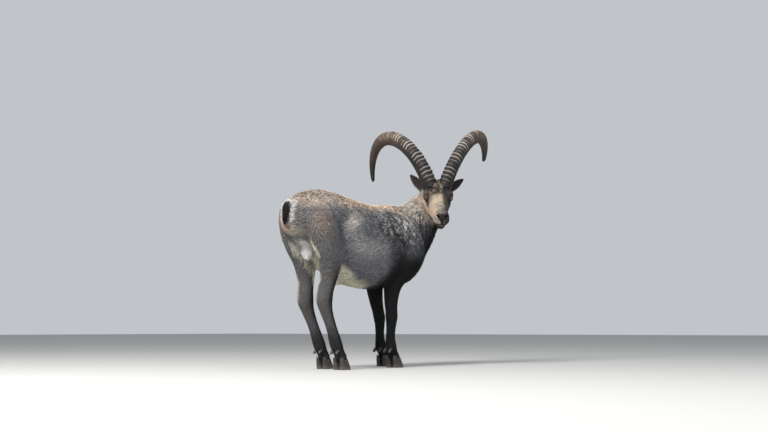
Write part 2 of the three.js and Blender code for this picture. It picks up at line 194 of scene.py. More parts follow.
headRows = [
    (-126, 0, 44, 34, 48, 2.0, 10),
    (-108, -4, 64, 58, 76, 2.1, 10),
    (-72, -8, 74, 76, 100, 2.2, 8),
    (-34, -12, 73, 78, 98, 2.3, 6),
    (2, -16, 63, 72, 88, 2.4, 4),
    (38, -20, 52, 60, 75, 2.4, 3),
    (76, -26, 44, 50, 62, 2.3, 2.5),
    (114, -31, 38, 45, 50, 2.3, 2.2),
    (146, -34, 38, 44, 41, 2.3, 1.8),
    (168, -35, 38, 42, 36, 2.3, 1.2),
    (185, -36, 31, 35, 29, 2.2, 0.6),
    (195, -37, 16, 19, 18, 2.0, 0.4),
]
headRows = [(x, 0, w, top, bottom, half, sq, c) for x, w, half, top, bottom, sq, c in headRows]


def smoothRows(rows, steps):  # Catmull-Rom through the rows
    rows = np.array(rows, float)
    padded = np.vstack([2 * rows[0] - rows[1], rows, 2 * rows[-1] - rows[-2]])
    out = []
    for i in range(len(rows) - 1):
        a, b, c, d = padded[i : i + 4]
        start, end, rise = (c - a) / 2, (d - b) / 2, c - b
        for t in np.arange(steps) / steps:
            out.append(b + t * (start + t * (3 * rise - 2 * start - end + t * (start + end - 2 * rise))))
    out.append(rows[-1])
    return np.array(out)


def makeLimb(rows, front, steps, ahead=None):
    rows = smoothRows(rows, steps)
    at = rows[:, :3]
    if ahead is None:
        ahead = np.vstack([at[1] - at[0], at[2:] - at[:-2], at[-1] - at[-2]])
    ahead = unit(np.broadcast_to(ahead, at.shape))
    front = np.array(front, float)
    up = unit(front - (ahead @ front)[:, None] * ahead)
    limb = {"at": at, "ahead": ahead, "up": up, "across": np.cross(ahead, up)}
    for i, key in enumerate(("top", "bottom", "half", "square", "coat")):
        limb[key] = rows[:, 3 + i]
    return limb


def legRows(rows, foot, side, step):
    out = []
    for x, y, z, fore, aft, half, coat in smoothRows(rows, 1):
        share = z / body["pivotHeight"]
        carried = step * (1 - share * abs(share))
        out.append((foot[0] + x + carried, side * (foot[1] + y), z, fore, aft, half, 2.1, coat))
    return out


def headLimb(steps):
    limb = makeLimb(headRows, (0, 0, 1), steps, (1, 0, 0))
    limb["at"] = headToBody(limb["at"])
    for key in ("ahead", "up", "across"):
        limb[key] = limb[key] @ headTurn.T
    for key in ("top", "bottom", "half", "coat"):
        limb[key] = limb[key] * headPose["scale"]
    return limb


def allLimbs(steps):
    limbs = {
        "trunk": makeLimb(trunkRows, (0, 0, 1), steps, (1, 0, 0)),
        "neck": makeLimb(neckRows, (-0.8, 0.35, 0.6), steps),
        "head": headLimb(steps),
        "tail": makeLimb(tailRows, (-1, 0, 0.2), steps),
    }
    for name, rows, foot in (("fore", foreRows, body["foreFoot"]), ("hind", hindRows, body["hindFoot"])):
        for word, side in (("Right", -1), ("Left", 1)):
            placed = legRows(rows, foot, side, body["swing"][name + word])
            limbs[name + word] = makeLimb(placed, (1, 0, 0), steps)
    return limbs


def ringsOf(limb, count):
    angle = (np.arange(count) + 0.5) / count * 2 * math.pi
    power = 2 / limb["square"][:, None]
    rise = np.sign(np.sin(angle)) * np.abs(np.sin(angle)) ** power
    aside = np.sign(np.cos(angle)) * np.abs(np.cos(angle)) ** power
    coat = limb["coat"][:, None]
    reach = np.where(rise > 0, limb["top"][:, None], limb["bottom"][:, None]) - coat
    half = limb["half"][:, None] - coat
    across, up = limb["across"][:, None], limb["up"][:, None]
    return limb["at"][:, None] + across * (aside * half)[..., None] + up * (rise * reach)[..., None]


# Small modelling helpers
def deselect():
    if bpy.context.object and bpy.context.object.mode != "OBJECT":
        bpy.ops.object.mode_set(mode="OBJECT")
    bpy.ops.object.select_all(action="DESELECT")


def choose(piece):
    deselect()
    piece.select_set(True)
    bpy.context.view_layer.objects.active = piece


def readPoints(mesh):
    flat = np.empty(len(mesh.vertices) * 3)
    mesh.vertices.foreach_get("co", flat)
    return flat.reshape(-1, 3)


def writePoints(mesh, points):
    mesh.vertices.foreach_set("co", np.ascontiguousarray(points, float).ravel())
    mesh.update()


def readNormals(mesh):
    flat = np.empty(len(mesh.vertices) * 3)
    mesh.vertex_normals.foreach_get("vector", flat)
    return flat.reshape(-1, 3)


def readEdges(mesh):
    ends = np.empty(len(mesh.edges) * 2, np.int32)
    mesh.edges.foreach_get("vertices", ends)
    return ends[::2], ends[1::2]


def tidy(piece, reach=1e-6):  # doubles merged, faces pointing out
    choose(piece)
    bpy.ops.object.mode_set(mode="EDIT")
    bpy.ops.mesh.select_all(action="SELECT")
    bpy.ops.mesh.remove_doubles(threshold=reach)
    bpy.ops.mesh.normals_make_consistent(inside=False)
    bpy.ops.object.mode_set(mode="OBJECT")


def rollTube(name, rings):
    # A grid rolled round into a tube through the rings, drawn together into a pole at each end
    rings = np.concatenate([rings[:1] * 0 + rings[0].mean(0), rings, rings[:1] * 0 + rings[-1].mean(0)])
    rows, count = rings.shape[:2]
    deselect()
    bpy.ops.mesh.primitive_grid_add(x_subdivisions=rows - 1, y_subdivisions=count, size=2)
    piece = bpy.context.object
    piece.name = name
    points = readPoints(piece.data)
    i = np.rint((points[:, 0] + 1) / 2 * (rows - 1)).astype(int)
    j = np.rint((points[:, 1] + 1) / 2 * count).astype(int) % count
    writePoints(piece.data, toScene(rings[i, j]))
    tidy(piece)
    return piece


def roundLump(name, at, reach, place=lambda p: p, wide=48, high=32):
    deselect()
    bpy.ops.mesh.primitive_uv_sphere_add(segments=wide, ring_count=high, radius=1)
    piece = bpy.context.object
    piece.name = name
    writePoints(piece.data, toScene(place(readPoints(piece.data) * np.array(reach) + np.array(at, float))))
    return piece


def joinUp(name, pieces):
    deselect()
    for piece in pieces:
        piece.select_set(True)
    bpy.context.view_layer.objects.active = pieces[0]
    bpy.ops.object.join()
    pieces[0].name = name
    return pieces[0]


def applyModifier(piece, kind, **settings):
    choose(piece)
    modifier = piece.modifiers.new(kind.title(), kind)
    for key, value in settings.items():
        setattr(modifier, key, value)
    bpy.ops.object.modifier_apply(modifier=modifier.name)


def remesh(piece, voxel):
    applyModifier(piece, "REMESH", mode="VOXEL", voxel_size=voxel * mm, adaptivity=0)


def combine(piece, tool, operation):
    applyModifier(piece, "BOOLEAN", operation=operation, object=tool, solver="MANIFOLD")
    bpy.data.objects.remove(tool)


def relax(piece, rounds, weight=None, push=0.5):
    mesh = piece.data
    a, b = readEdges(mesh)
    points = readPoints(mesh)
    n = len(points)
    near = np.maximum(np.bincount(a, minlength=n) + np.bincount(b, minlength=n), 1)[:, None]
    weight = np.ones((n, 1)) if weight is None else weight[:, None]
    for _ in range(rounds):
        total = np.stack(
            [np.bincount(a, points[b, k], n) + np.bincount(b, points[a, k], n) for k in range(3)], 1
        )
        points += (total / near - points) * weight * push
    writePoints(mesh, points)


def faceCount(piece):
    return sum(len(face.vertices) - 2 for face in piece.data.polygons)


def paint(piece, material):
    piece.data.materials.clear()
    piece.data.materials.append(material)


def smoothShade(piece):
    choose(piece)
    bpy.ops.object.shade_smooth()


# Body under the coat
parts = [rollTube(name, ringsOf(limb, 88)) for name, limb in allLimbs(10).items() if name != "head"]
parts += [roundLump(name, *body[name]) for name in ("sheath", "scrotum")]
skin = joinUp("skin", parts)
remesh(skin, body["voxel"])
points = toBody(readPoints(skin.data))
relax(skin, 7, 0.35 + 0.65 * ramp(points[:, 2], 300, 520))
print("body formed:", faceCount(skin))

# Bone and muscle under the skin: place, reach and lift
bodyForms = [
    ((268, 118, 720), (60, 40, 120), 6),  # shoulder blade
    ((330, 110, 610), (44, 40, 44), 7),  # point of the shoulder
    ((205, 120, 640), (26, 40, 90), -4),  # behind the shoulder
    ((-322, 95, 846), (40, 34, 30), 10),  # hip bone
    ((-500, 80, 800), (46, 34, 40), 4),
    ((-232, 130, 742), (52, 44, 56), -15),  # flank hollow
    ((-330, 110, 620), (44, 44, 60), 5),  # stifle
    ((-440, 110, 710), (80, 44, 90), 9),  # thigh
    ((120, 100, 520), (30, 40, 40), 5),  # elbow
    ((100, 0, 866), (160, 26, 20), 4),  # withers
    ((-100, 0, 870), (200, 18, 20), 3),
]


def raiseForms(piece, forms, frameOf, size=1.0):
    points = readPoints(piece.data)
    normals = readNormals(piece.data)
    local = frameOf(toBody(points))
    lift = np.zeros(len(points))
    for at, reach, height in forms:
        both = pairSpot if at[1] else spot
        lift += both(local, at, reach) * height
    writePoints(piece.data, points + normals * (lift * size * mm)[:, None])


raiseForms(skin, bodyForms, lambda p: p)
relax(skin, 2)

# Head: its own finer mesh, cut for the eyes, nostrils and mouth, then joined to the neck
eye = {
    "at": (8, 54, 10),
    "radius": 17,
    "turn": 38,
    "lid": 2.6,
    # upper and lower edge of the lids: start, pull and end
    "opening": (((-17, -3.5), (-3, 19), (17.5, 1.5)), ((17.5, 1.5), (1, -15), (-17, -3.5))),
}
head = {
    "forms": [
        ((38, 46, 0), (15, 12, 11), -3.5),  # tear pit in front of the eye
        ((12, 60, -20), (36, 14, 7), 3.5),  # cheekbone
        ((52, 44, -50), (24, 14, 18), -3.5),
        ((-48, 70, -52), (36, 18, 34), 4.5),  # jaw muscle
        ((84, 0, 20), (60, 12, 10), 2.5),  # bridge of the nose
        ((88, 28, 4), (46, 10, 12), -2.5),
        ((-52, 62, 24), (22, 16, 20), -4),  # temple
        ((-24, 0, 66), (24, 26, 16), 3),
        ((180, 24, -10), (14, 7, 10), 2.6),  # nostril wings
        ((194, 0, -28), (9, 3, 22), -2),  # groove between them
        ((160, 30, -46), (22, 10, 9), 2.6),  # upper lip
        ((158, 0, -78), (20, 16, 12), 2),  # chin
        ((4, 50, 34), (22, 16, 6), 3),  # brow ridge over the eye
    ],
    "brow": ((-6, 53, 18), (33, 21, 24)),
    "muzzle": ((163, 15, -41), (28, 19, 21)),
    "chin": ((156, 0, -69), (28, 20, 13)),
    "tuft": ((-34, 0, 54), (36, 28, 14)),
    "nostril": ((186, 19.5, -14), (15, 10, 5.2), 24),
    "mouth": [(92, -61), (110, -64), (130, -64), (150, -59), (172, -55), (204, -56)],
    "mouthFold": (4.2, 1.7),  # depth and half width
    "lidCrease": (1.8, 4.5, 2.2),  # depth, distance from the lid's edge, half width
    "lidRoll": (1.1, 8.5, 3),
}
pieces = [rollTube("skull", ringsOf(allLimbs(10)["head"], 120))]
for side in (-1, 1):
    for key in ("brow", "muzzle"):
        at, reach = head[key]
        pieces.append(roundLump(key, onSide(at, side), reach, headToBody))
    lidBall = [eye["radius"] + eye["lid"]] * 3
    pieces.append(roundLump("lid", onSide(eye["at"], side), lidBall, headToBody))
for key in ("chin", "tuft"):
    pieces.append(roundLump(key, *head[key], headToBody))
skull = joinUp("headSkin", pieces)
remesh(skull, body["headVoxel"])
relax(skull, 5)
raiseForms(skull, head["forms"], bodyToHead, headPose["scale"])
relax(skull, 4)


def eyeGap(h):  # from the middle of the nearer eye
    return np.linalg.norm(folded(h) - eye["at"], axis=1)


def mouthGap(h):  # height over the mouth line
    x, z = np.array(head["mouth"]).T
    return h[:, 2] - np.interp(h[:, 0], x, z)


def band(value, half):
    return np.exp(-((value / half) ** 2))


def foldFace(piece):
    # Mouth line, crease of the upper lid and the roll over it
    points, normals = readPoints(piece.data), readNormals(piece.data)
    local = bodyToHead(toBody(points))
    fromLid = eyeGap(local) - eye["radius"] - eye["lid"]
    facing = ramp(np.abs(local[:, 1]), 20, 40)
    above = ramp(local[:, 2] - eye["at"][2], -4, 8)
    deep, half = head["mouthFold"]
    lift = -deep * band(mouthGap(local), half) * ramp(local[:, 0], 88, 104)
    deep, away, half = head["lidCrease"]
    lift -= deep * band(fromLid - away, half) * facing * (0.35 + 0.65 * above)
    high, away, half = head["lidRoll"]
    lift += high * band(fromLid - away, half) * facing * above
    writePoints(piece.data, points + normals * (lift * headPose["scale"] * mm)[:, None])


foldFace(skull)


def eyeAxis(side):
    turn = math.radians(eye["turn"])
    return np.array([math.sin(turn), side * math.cos(turn), 0.0])


def lidCutter(side):
    # A pointed lens pushed through along the eye's axis
    t = np.linspace(0, 1, 25)[:, None]
    bends = np.array(eye["opening"], float)
    upper, lower = ((1 - t) ** 2 * start + 2 * t * (1 - t) * pull + t * t * end for start, pull, end in bends)
    outline = np.vstack([upper, lower[1:-1]])
    ahead = eyeAxis(side)
    along = np.array([ahead[1], -ahead[0], 0.0]) * side
    lens = onSide(eye["at"], side) + outline[:, :1] * along + outline[:, 1:] * np.array([0, 0, 1.0])
    return rollTube("lidCutter", headToBody(np.array([lens + ahead * depth for depth in (2, 14, 26, 40)])))


for side in (-1, 1):
    socket = roundLump("socket", onSide(eye["at"], side), [eye["radius"] + 0.4] * 3, headToBody)
    combine(skull, socket, "DIFFERENCE")
    combine(skull, lidCutter(side), "DIFFERENCE")
    at, reach, slant = head["nostril"]
    tilt = np.array(Matrix.Rotation(math.radians(slant * side), 3, "X"))
    hole = roundLump("nostril", (0, 0, 0), reach, lambda p: headToBody(p @ tilt.T + onSide(at, side)))
    combine(skull, hole, "DIFFERENCE")
print("head formed:", faceCount(skull))

# Ears: leaves with a deep cup. Each row: place along it, half width, depth, share cupped
ear = {
    "length": 106,
    "root": (-96, 58, 2),
    "right": (-0.42, -0.62, 0.6),
    "left": (-0.4, 0.76, 0.46),
    "rows": [
        (-0.12, 15, 15, 0),
        (0.04, 17, 18, 0.1),
        (0.2, 22, 20, 0.72),
        (0.45, 25, 17, 0.8),
        (0.7, 20, 12, 0.78),
        (0.9, 10, 6, 0.6),
        (1, 2.5, 2.2, 0),
    ],
}


def earFrame(side):
    ahead = unit(np.array(ear["right" if side < 0 else "left"]))
    opening = np.array([0.8, side * 0.5, 0.1])
    opening = unit(opening - (opening @ ahead) * ahead)
    return onSide(ear["root"], side), ahead, opening, np.cross(ahead, opening)


def buildEar(side):
    root, ahead, opening, across = earFrame(side)
    rings = []
    u = np.sin(np.linspace(-1, 1, 27) * math.pi / 2)[:, None]
    for t, half, deep, cup in smoothRows(ear["rows"], 7):
        at = root + ahead * t * ear["length"]
        outer = at + across * u * (half - 0.6) + opening * (-(deep + 1.2) * (1 - u * u))
        inner = at + across * u * max(half - 2.4, 0.6) + opening * (1.4 - (deep * cup - 1.4) * (1 - u * u))
        rings.append(np.vstack([outer, inner[::-1]]))
    return rollTube("ear", headToBody(np.array(rings)))


for side in (-1, 1):
    combine(skull, buildEar(side), "UNION")
combine(skin, skull, "UNION")
tidy(skin, 1e-5)


def keepLargest(piece):
    mesh = piece.data
    a, b = readEdges(mesh)
    label = np.arange(len(mesh.vertices))
    while True:
        least = np.minimum(label[a], label[b])
        np.minimum.at(label, a, least)
        np.minimum.at(label, b, least)
        label = label[label]
        if (label[a] == label[b]).all():
            break
    kept = np.bincount(label).argmax()
    if (label == kept).all():
        return
    choose(piece)
    bpy.ops.object.mode_set(mode="EDIT")
    bpy.ops.mesh.select_mode(type="VERT")
    bpy.ops.mesh.select_all(action="DESELECT")
    bpy.ops.object.mode_set(mode="OBJECT")
    mesh.vertices.foreach_set("select", label != kept)
    bpy.ops.object.mode_set(mode="EDIT")
    bpy.ops.mesh.delete(type="VERT")
    bpy.ops.object.mode_set(mode="OBJECT")


keepLargest(skin)
# The join behind the jaw is smoothed over
local = bodyToHead(toBody(readPoints(skin.data)))
relax(skin, 10, ramp(local[:, 0], -66, -104) * ramp(local[:, 0], -330, -200) * 0.9)
smoothShade(skin)
print("skin joined:", faceCount(skin))


# Shaders
class Value:  # a socket that can stand in a sum
    def __init__(self, shade, socket):
        self.shade = shade
        self.socket = socket

    def __add__(self, other):
        return self.shade.sum("ADD", self, other)

    def __rsub__(self, other):
        return self.shade.sum("SUBTRACT", other, self)

    def __mul__(self, other):
        return self.shade.sum("MULTIPLY", self, other)

    def __pow__(self, other):
        return self.shade.sum("POWER", self, other)

    __radd__ = __add__
    __rmul__ = __mul__


class Shade:  # one material
    def __init__(self, name):
        self.material = bpy.data.materials.new(name)
        self.material.use_nodes = True
        self.tree = self.material.node_tree
        self.principled = self.tree.nodes["Principled BSDF"]

    def add(self, kind, settings=None, inputs=None, output=0):
        node = self.tree.nodes.new(kind)
        for key, value in (settings or {}).items():
            setattr(node, key, value)
        for key, value in (inputs or {}).items():
            self.feed(node.inputs[key], value)
        return Value(self, node.outputs[output])

    def feed(self, socket, value):
        if isinstance(value, Value):
            self.tree.links.new(value.socket, socket)
        else:
            socket.default_value = value

    def sum(self, operation, first, second):
        return self.add("ShaderNodeMath", {"operation": operation}, {0: first, 1: second})

    def ramp(self, value, start, end):
        inputs = {"Value": value, "From Min": start, "From Max": end}
        return self.add("ShaderNodeMapRange", {"interpolation_type": "SMOOTHSTEP"}, inputs)

    def mix(self, share, first, second, blend="MIX"):
        settings = {"data_type": "RGBA", "blend_type": blend}
        return self.add("ShaderNodeMix", settings, {0: share, 6: first, 7: second}, 2)

    def noise(self, vector, scale, detail=3, rough=0.55):
        inputs = {"Vector": vector, "Scale": scale, "Detail": detail, "Roughness": rough}
        return self.add("ShaderNodeTexNoise", {}, inputs)

    def place(self):
        return self.add("ShaderNodeTexCoord", {}, {}, "Object")

    def part(self, vector, axis):
        return self.add("ShaderNodeSeparateXYZ", {}, {0: vector}, axis)

    def attribute(self, name, output="Fac"):
        return self.add("ShaderNodeAttribute", {"attribute_name": name}, {}, output)

    def mapping(self, vector, at=(0, 0, 0), turn=(0, 0, 0), size=(1, 1, 1)):
        inputs = {"Vector": vector, "Location": at, "Rotation": turn, "Scale": size}
        return self.add("ShaderNodeMapping", {"vector_type": "POINT"}, inputs)

    def bump(self, height, strength, distance):
        inputs = {"Height": height, "Strength": strength, "Distance": distance}
        return self.add("ShaderNodeBump", {}, inputs)

    def finish(self, **sockets):
        for key, value in sockets.items():
            self.feed(self.principled.inputs[key.replace("_", " ")], value)
        return self.material


def tone(red, green, blue):  # screen colour, 0 to 255, as light
    value = np.array([red, green, blue]) / 255
    return np.where(value <= 0.04045, value / 12.92, ((value + 0.055) / 1.055) ** 2.4)


def storeColour(mesh, name, colours):
    layer = mesh.attributes.new(name, "FLOAT_COLOR", "POINT")
    flat = np.ones((len(mesh.vertices), 4), np.float32)
    flat[:, :3] = colours
    layer.data.foreach_set("color", flat.ravel())


def storeNumber(mesh, name, numbers):
    layer = mesh.attributes.new(name, "FLOAT", "POINT")
    layer.data.foreach_set("value", np.asarray(numbers, np.float32))


# Where each point lies on the animal
measureLimbs = allLimbs(3)


def nearestRow(points, rows):  # in blocks, so that the distances fit in memory
    blocks = np.array_split(points, len(points) // 8000 + 1)
    return np.concatenate([((block[:, None] - rows) ** 2).sum(-1).argmin(1) for block in blocks])


def measure(limb, points):
    at, ahead = limb["at"], limb["ahead"]
    nearest = nearestRow(points, at)
    back = ((points - at[nearest]) * ahead[nearest]).sum(1) < 0
    i = np.clip(nearest - back, 0, len(at) - 2)
    span = at[i + 1] - at[i]
    share = ((points - at[i]) * span).sum(1) / (span**2).sum(1)
    beyond = np.abs(share - np.clip(share, 0, 1)) * np.linalg.norm(span, axis=1)
    share = np.clip(share, 0, 1)

    def between(key):
        values = limb[key]
        weight = share[:, None] if values.ndim > 1 else share
        return values[i] * (1 - weight) + values[i + 1] * weight

    offset = points - between("at")
    y = (offset * between("across")).sum(1)
    z = (offset * between("up")).sum(1)
    coatDepth = between("coat")
    half = between("half") - coatDepth
    reach = np.where(z > 0, between("top"), between("bottom")) - coatDepth
    square = between("square")
    level = (np.abs(y / half) ** square + np.abs(z / reach) ** square) ** (1 / square)
    steps = np.linalg.norm(np.diff(at, axis=0), axis=1)
    length = np.concatenate([[0], np.cumsum(steps)])
    return {
        "gap": np.abs(level - 1) * np.minimum(half, reach) + beyond,
        "along": length[i] + share * steps[i],
        "length": length[-1],
        "angle": np.arctan2(z / reach, y / half),
        "ahead": unit(between("ahead")),
    }


def locate(points):
    # Shares of each limb at the points, with each limb's own measures
    found = {name: measure(limb, points) for name, limb in measureLimbs.items()}
    h = bodyToHead(points)
    earNear = np.zeros(len(points))
    for side in (-1, 1):
        root, ahead, _, _ = earFrame(side)
        offset = h - root
        t = offset @ ahead / ear["length"]
        away = np.linalg.norm(offset - (offset @ ahead)[:, None] * ahead, axis=1)
        earNear = np.maximum(earNear, ramp(t, 0.02, 0.12) * (away < 34) * (t < 1.1))
    shares = {name: np.exp(-((m["gap"] / 13) ** 2)) + 1e-5 for name, m in found.items()}
    total = sum(shares.values())
    shares = {name: share / total * (1 - earNear) for name, share in shares.items()}
    shares["ear"] = earNear
    return shares, found


print("measured")

# Markings, shared by the skin and the coat
coatTones = {
    "flank": tone(122, 124, 131),
    "back": tone(214, 190, 166),
    "croup": tone(174, 164, 154),
    "shoulder": tone(64, 65, 73),
    "fleck": tone(212, 206, 198),
    "nape": tone(204, 194, 182),
    "chest": tone(20, 18, 20),
    "leg": tone(9, 8, 10),
    "thigh": tone(114, 113, 116),
    "thighPatch": tone(150, 132, 120),
    "shank": tone(92, 90, 90),
    "pale": tone(216, 208, 196),
    "belly": tone(238, 232, 208),
    "white": tone(222, 220, 216),
    "rufous": tone(178, 138, 114),
    "tail": tone(30, 25, 26),
    "scrotum": tone(236, 236, 236),
    "cheek": tone(190, 168, 148),
    "bridge": tone(190, 180, 160),
    "forehead": tone(82, 67, 58),
    "dark": tone(44, 39, 40),
    "slate": tone(70, 68, 72),
    "lip": tone(132, 132, 130),
    "nose": tone(16, 15, 17),
    "earBack": tone(120, 100, 84),
    "earInside": tone(52, 46, 50),
    "shade": np.zeros(3),
}


def layTones(base, layers):  # each tone laid over those before it, by its share at every point
    colour = coatTones[base]
    for name, share in layers:
        share = np.clip(share, 0, 1)[:, None]
        colour = colour * (1 - share) + coatTones[name] * share
    return colour


def pepper(p):  # thin locks, long down the lie of the hair and narrow across it
    turned = p @ np.array([[0.35, 0, 0.94], [0, 1, 0], [-0.94, 0, 0.35]])
    return 0.5 * cloud(turned, (26, 20, 6), 21) + 0.5 * cloud(p, 5.5, 22)


def flankSpot(p, at, reach, lean=0):  # seen from the side, its top leaning ahead by so many degrees
    x, z = p[:, 0] - at[0], p[:, 2] - at[1]
    c, s = math.cos(math.radians(lean)), math.sin(math.radians(lean))
    return band(x * c - z * s, reach[0]) * band(x * s + z * c, reach[1])


def alongLine(p, points, width):
    points = np.array(points, float)
    far = np.full(len(p), 1e9)
    for a, b in zip(points, points[1:]):
        t = np.clip((p - a) @ (b - a) / ((b - a) @ (b - a)), 0, 1)
        far = np.minimum(far, np.linalg.norm(p - a - t[:, None] * (b - a), axis=1))
    return ramp(far, width, width * 0.4)


lines = {
    # x and height of the belly's upper edge
    "belly": ([-430, -333, -240, -120, -35, 80], [620, 562, 512, 452, 430, 392]),
    "buttock": [(-600, 74, 706), (-556, 90, 636), (-505, 92, 598), (-455, 86, 560)],
}


def bodyMarks(p, n, shares, found):
    x, y, z = p.T
    uneven = (cloud(p, 60, 1) - 0.5) * 40 + (cloud(p, 22, 2) - 0.5) * 18
    roughX, roughZ, softZ = x + uneven, z + uneven, z + uneven * 0.5
    side = np.abs(y)
    roughSide = side + uneven * 0.4
    neck, trunk = shares["neck"], shares["trunk"]
    foreLegs = shares["foreRight"] + shares["foreLeft"]
    hindLegs = shares["hindRight"] + shares["hindLeft"]
    aroundNeck = np.sin(found["neck"]["angle"])
    fleck = pepper(p)
    darkFleck = ramp(fleck, 0.5, 0.36)
    maned = np.maximum(0.95 * neck * ramp(aroundNeck, -0.5, 0.1), flankSpot(p, (150, 760), (170, 105)))
    flecked = np.maximum(maned, 0.9 * ramp(softZ, 690, 770) * ramp(x, -360, -240))
    ribs = flankSpot(p, (-34, 714), (140, 56))
    bellyTop = np.interp(x, *lines["belly"])
    under = np.maximum(trunk, ramp(side, 118, 98) * ramp(x, -350, -326) * ramp(z, 400, 440))
    inner = ramp(n[:, 1] * np.sign(y), -0.15, -0.5) * ramp(softZ, 545, 600)
    # rear edge of the hind shanks on the side facing the light: a real pale strip, partly a painted highlight
    rearEdgeAndHighlight = ramp(n @ [-0.86, 0.51, 0] + uneven * 0.003, 0.88, 0.985)
    rump = ramp(x, -520, -566) * ramp(z, 610, 660)
    layers = [
        # flank, shoulder and thigh
        ("shoulder", 0.75 * flankSpot(p, (70, 715), (120, 70))),
        ("shoulder", 0.9 * ramp(roughX, 0, 80) * ramp(z + uneven * 0.4, 800, 660)),
        ("thigh", 0.8 * ramp(roughX, -300, -420) * ramp(z, 840, 780)),
        ("thighPatch", 0.8 * flankSpot(p, (-475, 730), (62, 66))),
        # painted shade: a dark band in the fold in front of the thigh
        ("shoulder", 0.75 * flankSpot(p, (-318, 720), (36, 116), 14)),
        # back and croup
        # buff along the top of the back: partly its own colour, partly painted top light
        ("back", ramp(softZ, 786, 846) * ramp(x, 420, 250)),
        ("croup", 0.9 * ramp(roughX, -190, -330) * ramp(z + uneven * 0.7, 780, 846)),
        ("rufous", 0.55 * ramp(x, -380, -520) * ramp(z, 800, 850) * ramp(cloud(p, 26, 5), 0.4, 0.7)),
        # paler low on the flank and in its hollow, darker on the upper ribs
        ("pale", 0.24 * flankSpot(p, (-120, 608), (115, 46))),
        ("shoulder", 0.5 * ribs),
        ("shade", 0.36 * ribs),
        # painted highlight: a pale band in the flank's hollow
        ("pale", 0.85 * flankSpot(p, (-224, 738), (32, 58), 53.13)),
        # neck: buff along the nape, dark towards the chest
        ("shoulder", 0.75 * neck),
        ("nape", 0.9 * neck * ramp(aroundNeck, 0.1, 0.85)),
        ("chest", neck * ramp(aroundNeck + uneven * 0.004, -0.3, -0.75)),
        # pale and dark flecks over the neck, the shoulder and the back
        ("fleck", 0.9 * np.maximum(maned, 0.16 * trunk) * ramp(fleck, 0.53, 0.66)),
        ("shade", 0.6 * np.maximum(flecked, 0.3 * trunk) * darkFleck),
        ("shoulder", 0.7 * ramp(roughZ, 790, 860) * ramp(x, -120, -260) * darkFleck),
        # chest, brisket and legs near black
        ("chest", ramp(n[:, 0], 0.2, 0.55) * ramp(x, 280, 380) * ramp(z, 800, 720)),
        ("chest", ramp(roughZ, 640, 520) * ramp(roughX, 60, 150)),
        ("leg", ramp(roughZ, 560, 440) * ramp(roughX, 20, 110)),
        ("leg", foreLegs * ramp(roughZ, 620, 520)),
        ("shank", 0.8 * hindLegs * ramp(roughZ, 600, 470)),
        # hind legs black on their front, turned from the light: their own dark colour, partly painted shade
        ("leg", hindLegs * ramp(n[:, 0] + uneven * 0.006, -0.3, 0.35) * ramp(z, 560, 420)),
        ("leg", 0.85 * hindLegs * ramp(roughZ, 250, 130)),
        # pale belly, groin, inner thighs, and the rear edge of the shanks on the side turned to the light: a
        # real pale strip with a painted highlight
        ("belly", under * ramp(softZ, bellyTop + 16, bellyTop - 12) * ramp(x, 110, 30)),
        ("belly", 0.85 * hindLegs * inner),
        ("pale", 0.62 * hindLegs * rearEdgeAndHighlight * ramp(z, 310, 370) * ramp(z, 500, 430)),
        # rump: white beside the black tail, rufous on its far side and cream below
        ("rufous", 0.7 * rump * ramp(roughSide, 90, 50) * ramp(roughZ, 800, 740) * ramp(y, -46, 0)),
        ("belly", 0.36 * ramp(x, -500, -556) * ramp(roughSide, 86, 60) * ramp(roughZ, 716, 664)),
        ("belly", 0.72 * alongLine(folded(p), lines["buttock"], 17)),
        ("white", 0.95 * rump * ramp(roughSide, 54, 38) * ramp(z, 690, 746) * ramp(softZ, 838, 818)),
        ("tail", 1.9 * shares["tail"] * ramp(x, -572, -586) * ramp(z, 826, 812)),
        ("scrotum", 1.6 * spot(p, (-440, 0, 575), (50, 46, 66))),
    ]
    return layTones("flank", layers)


def padShare(h):  # the bare nose pad between the nostrils
    x, side, z = folded(h).T
    half = np.interp(z, [-58, -48, -36, -26, -12, -2], [5, 6, 9, 17, 27, 21])
    return ramp(side - half, 2, -2) * ramp(z, 2, -4) * ramp(z, -59, -54) * ramp(x + side * 0.3, 168, 174)


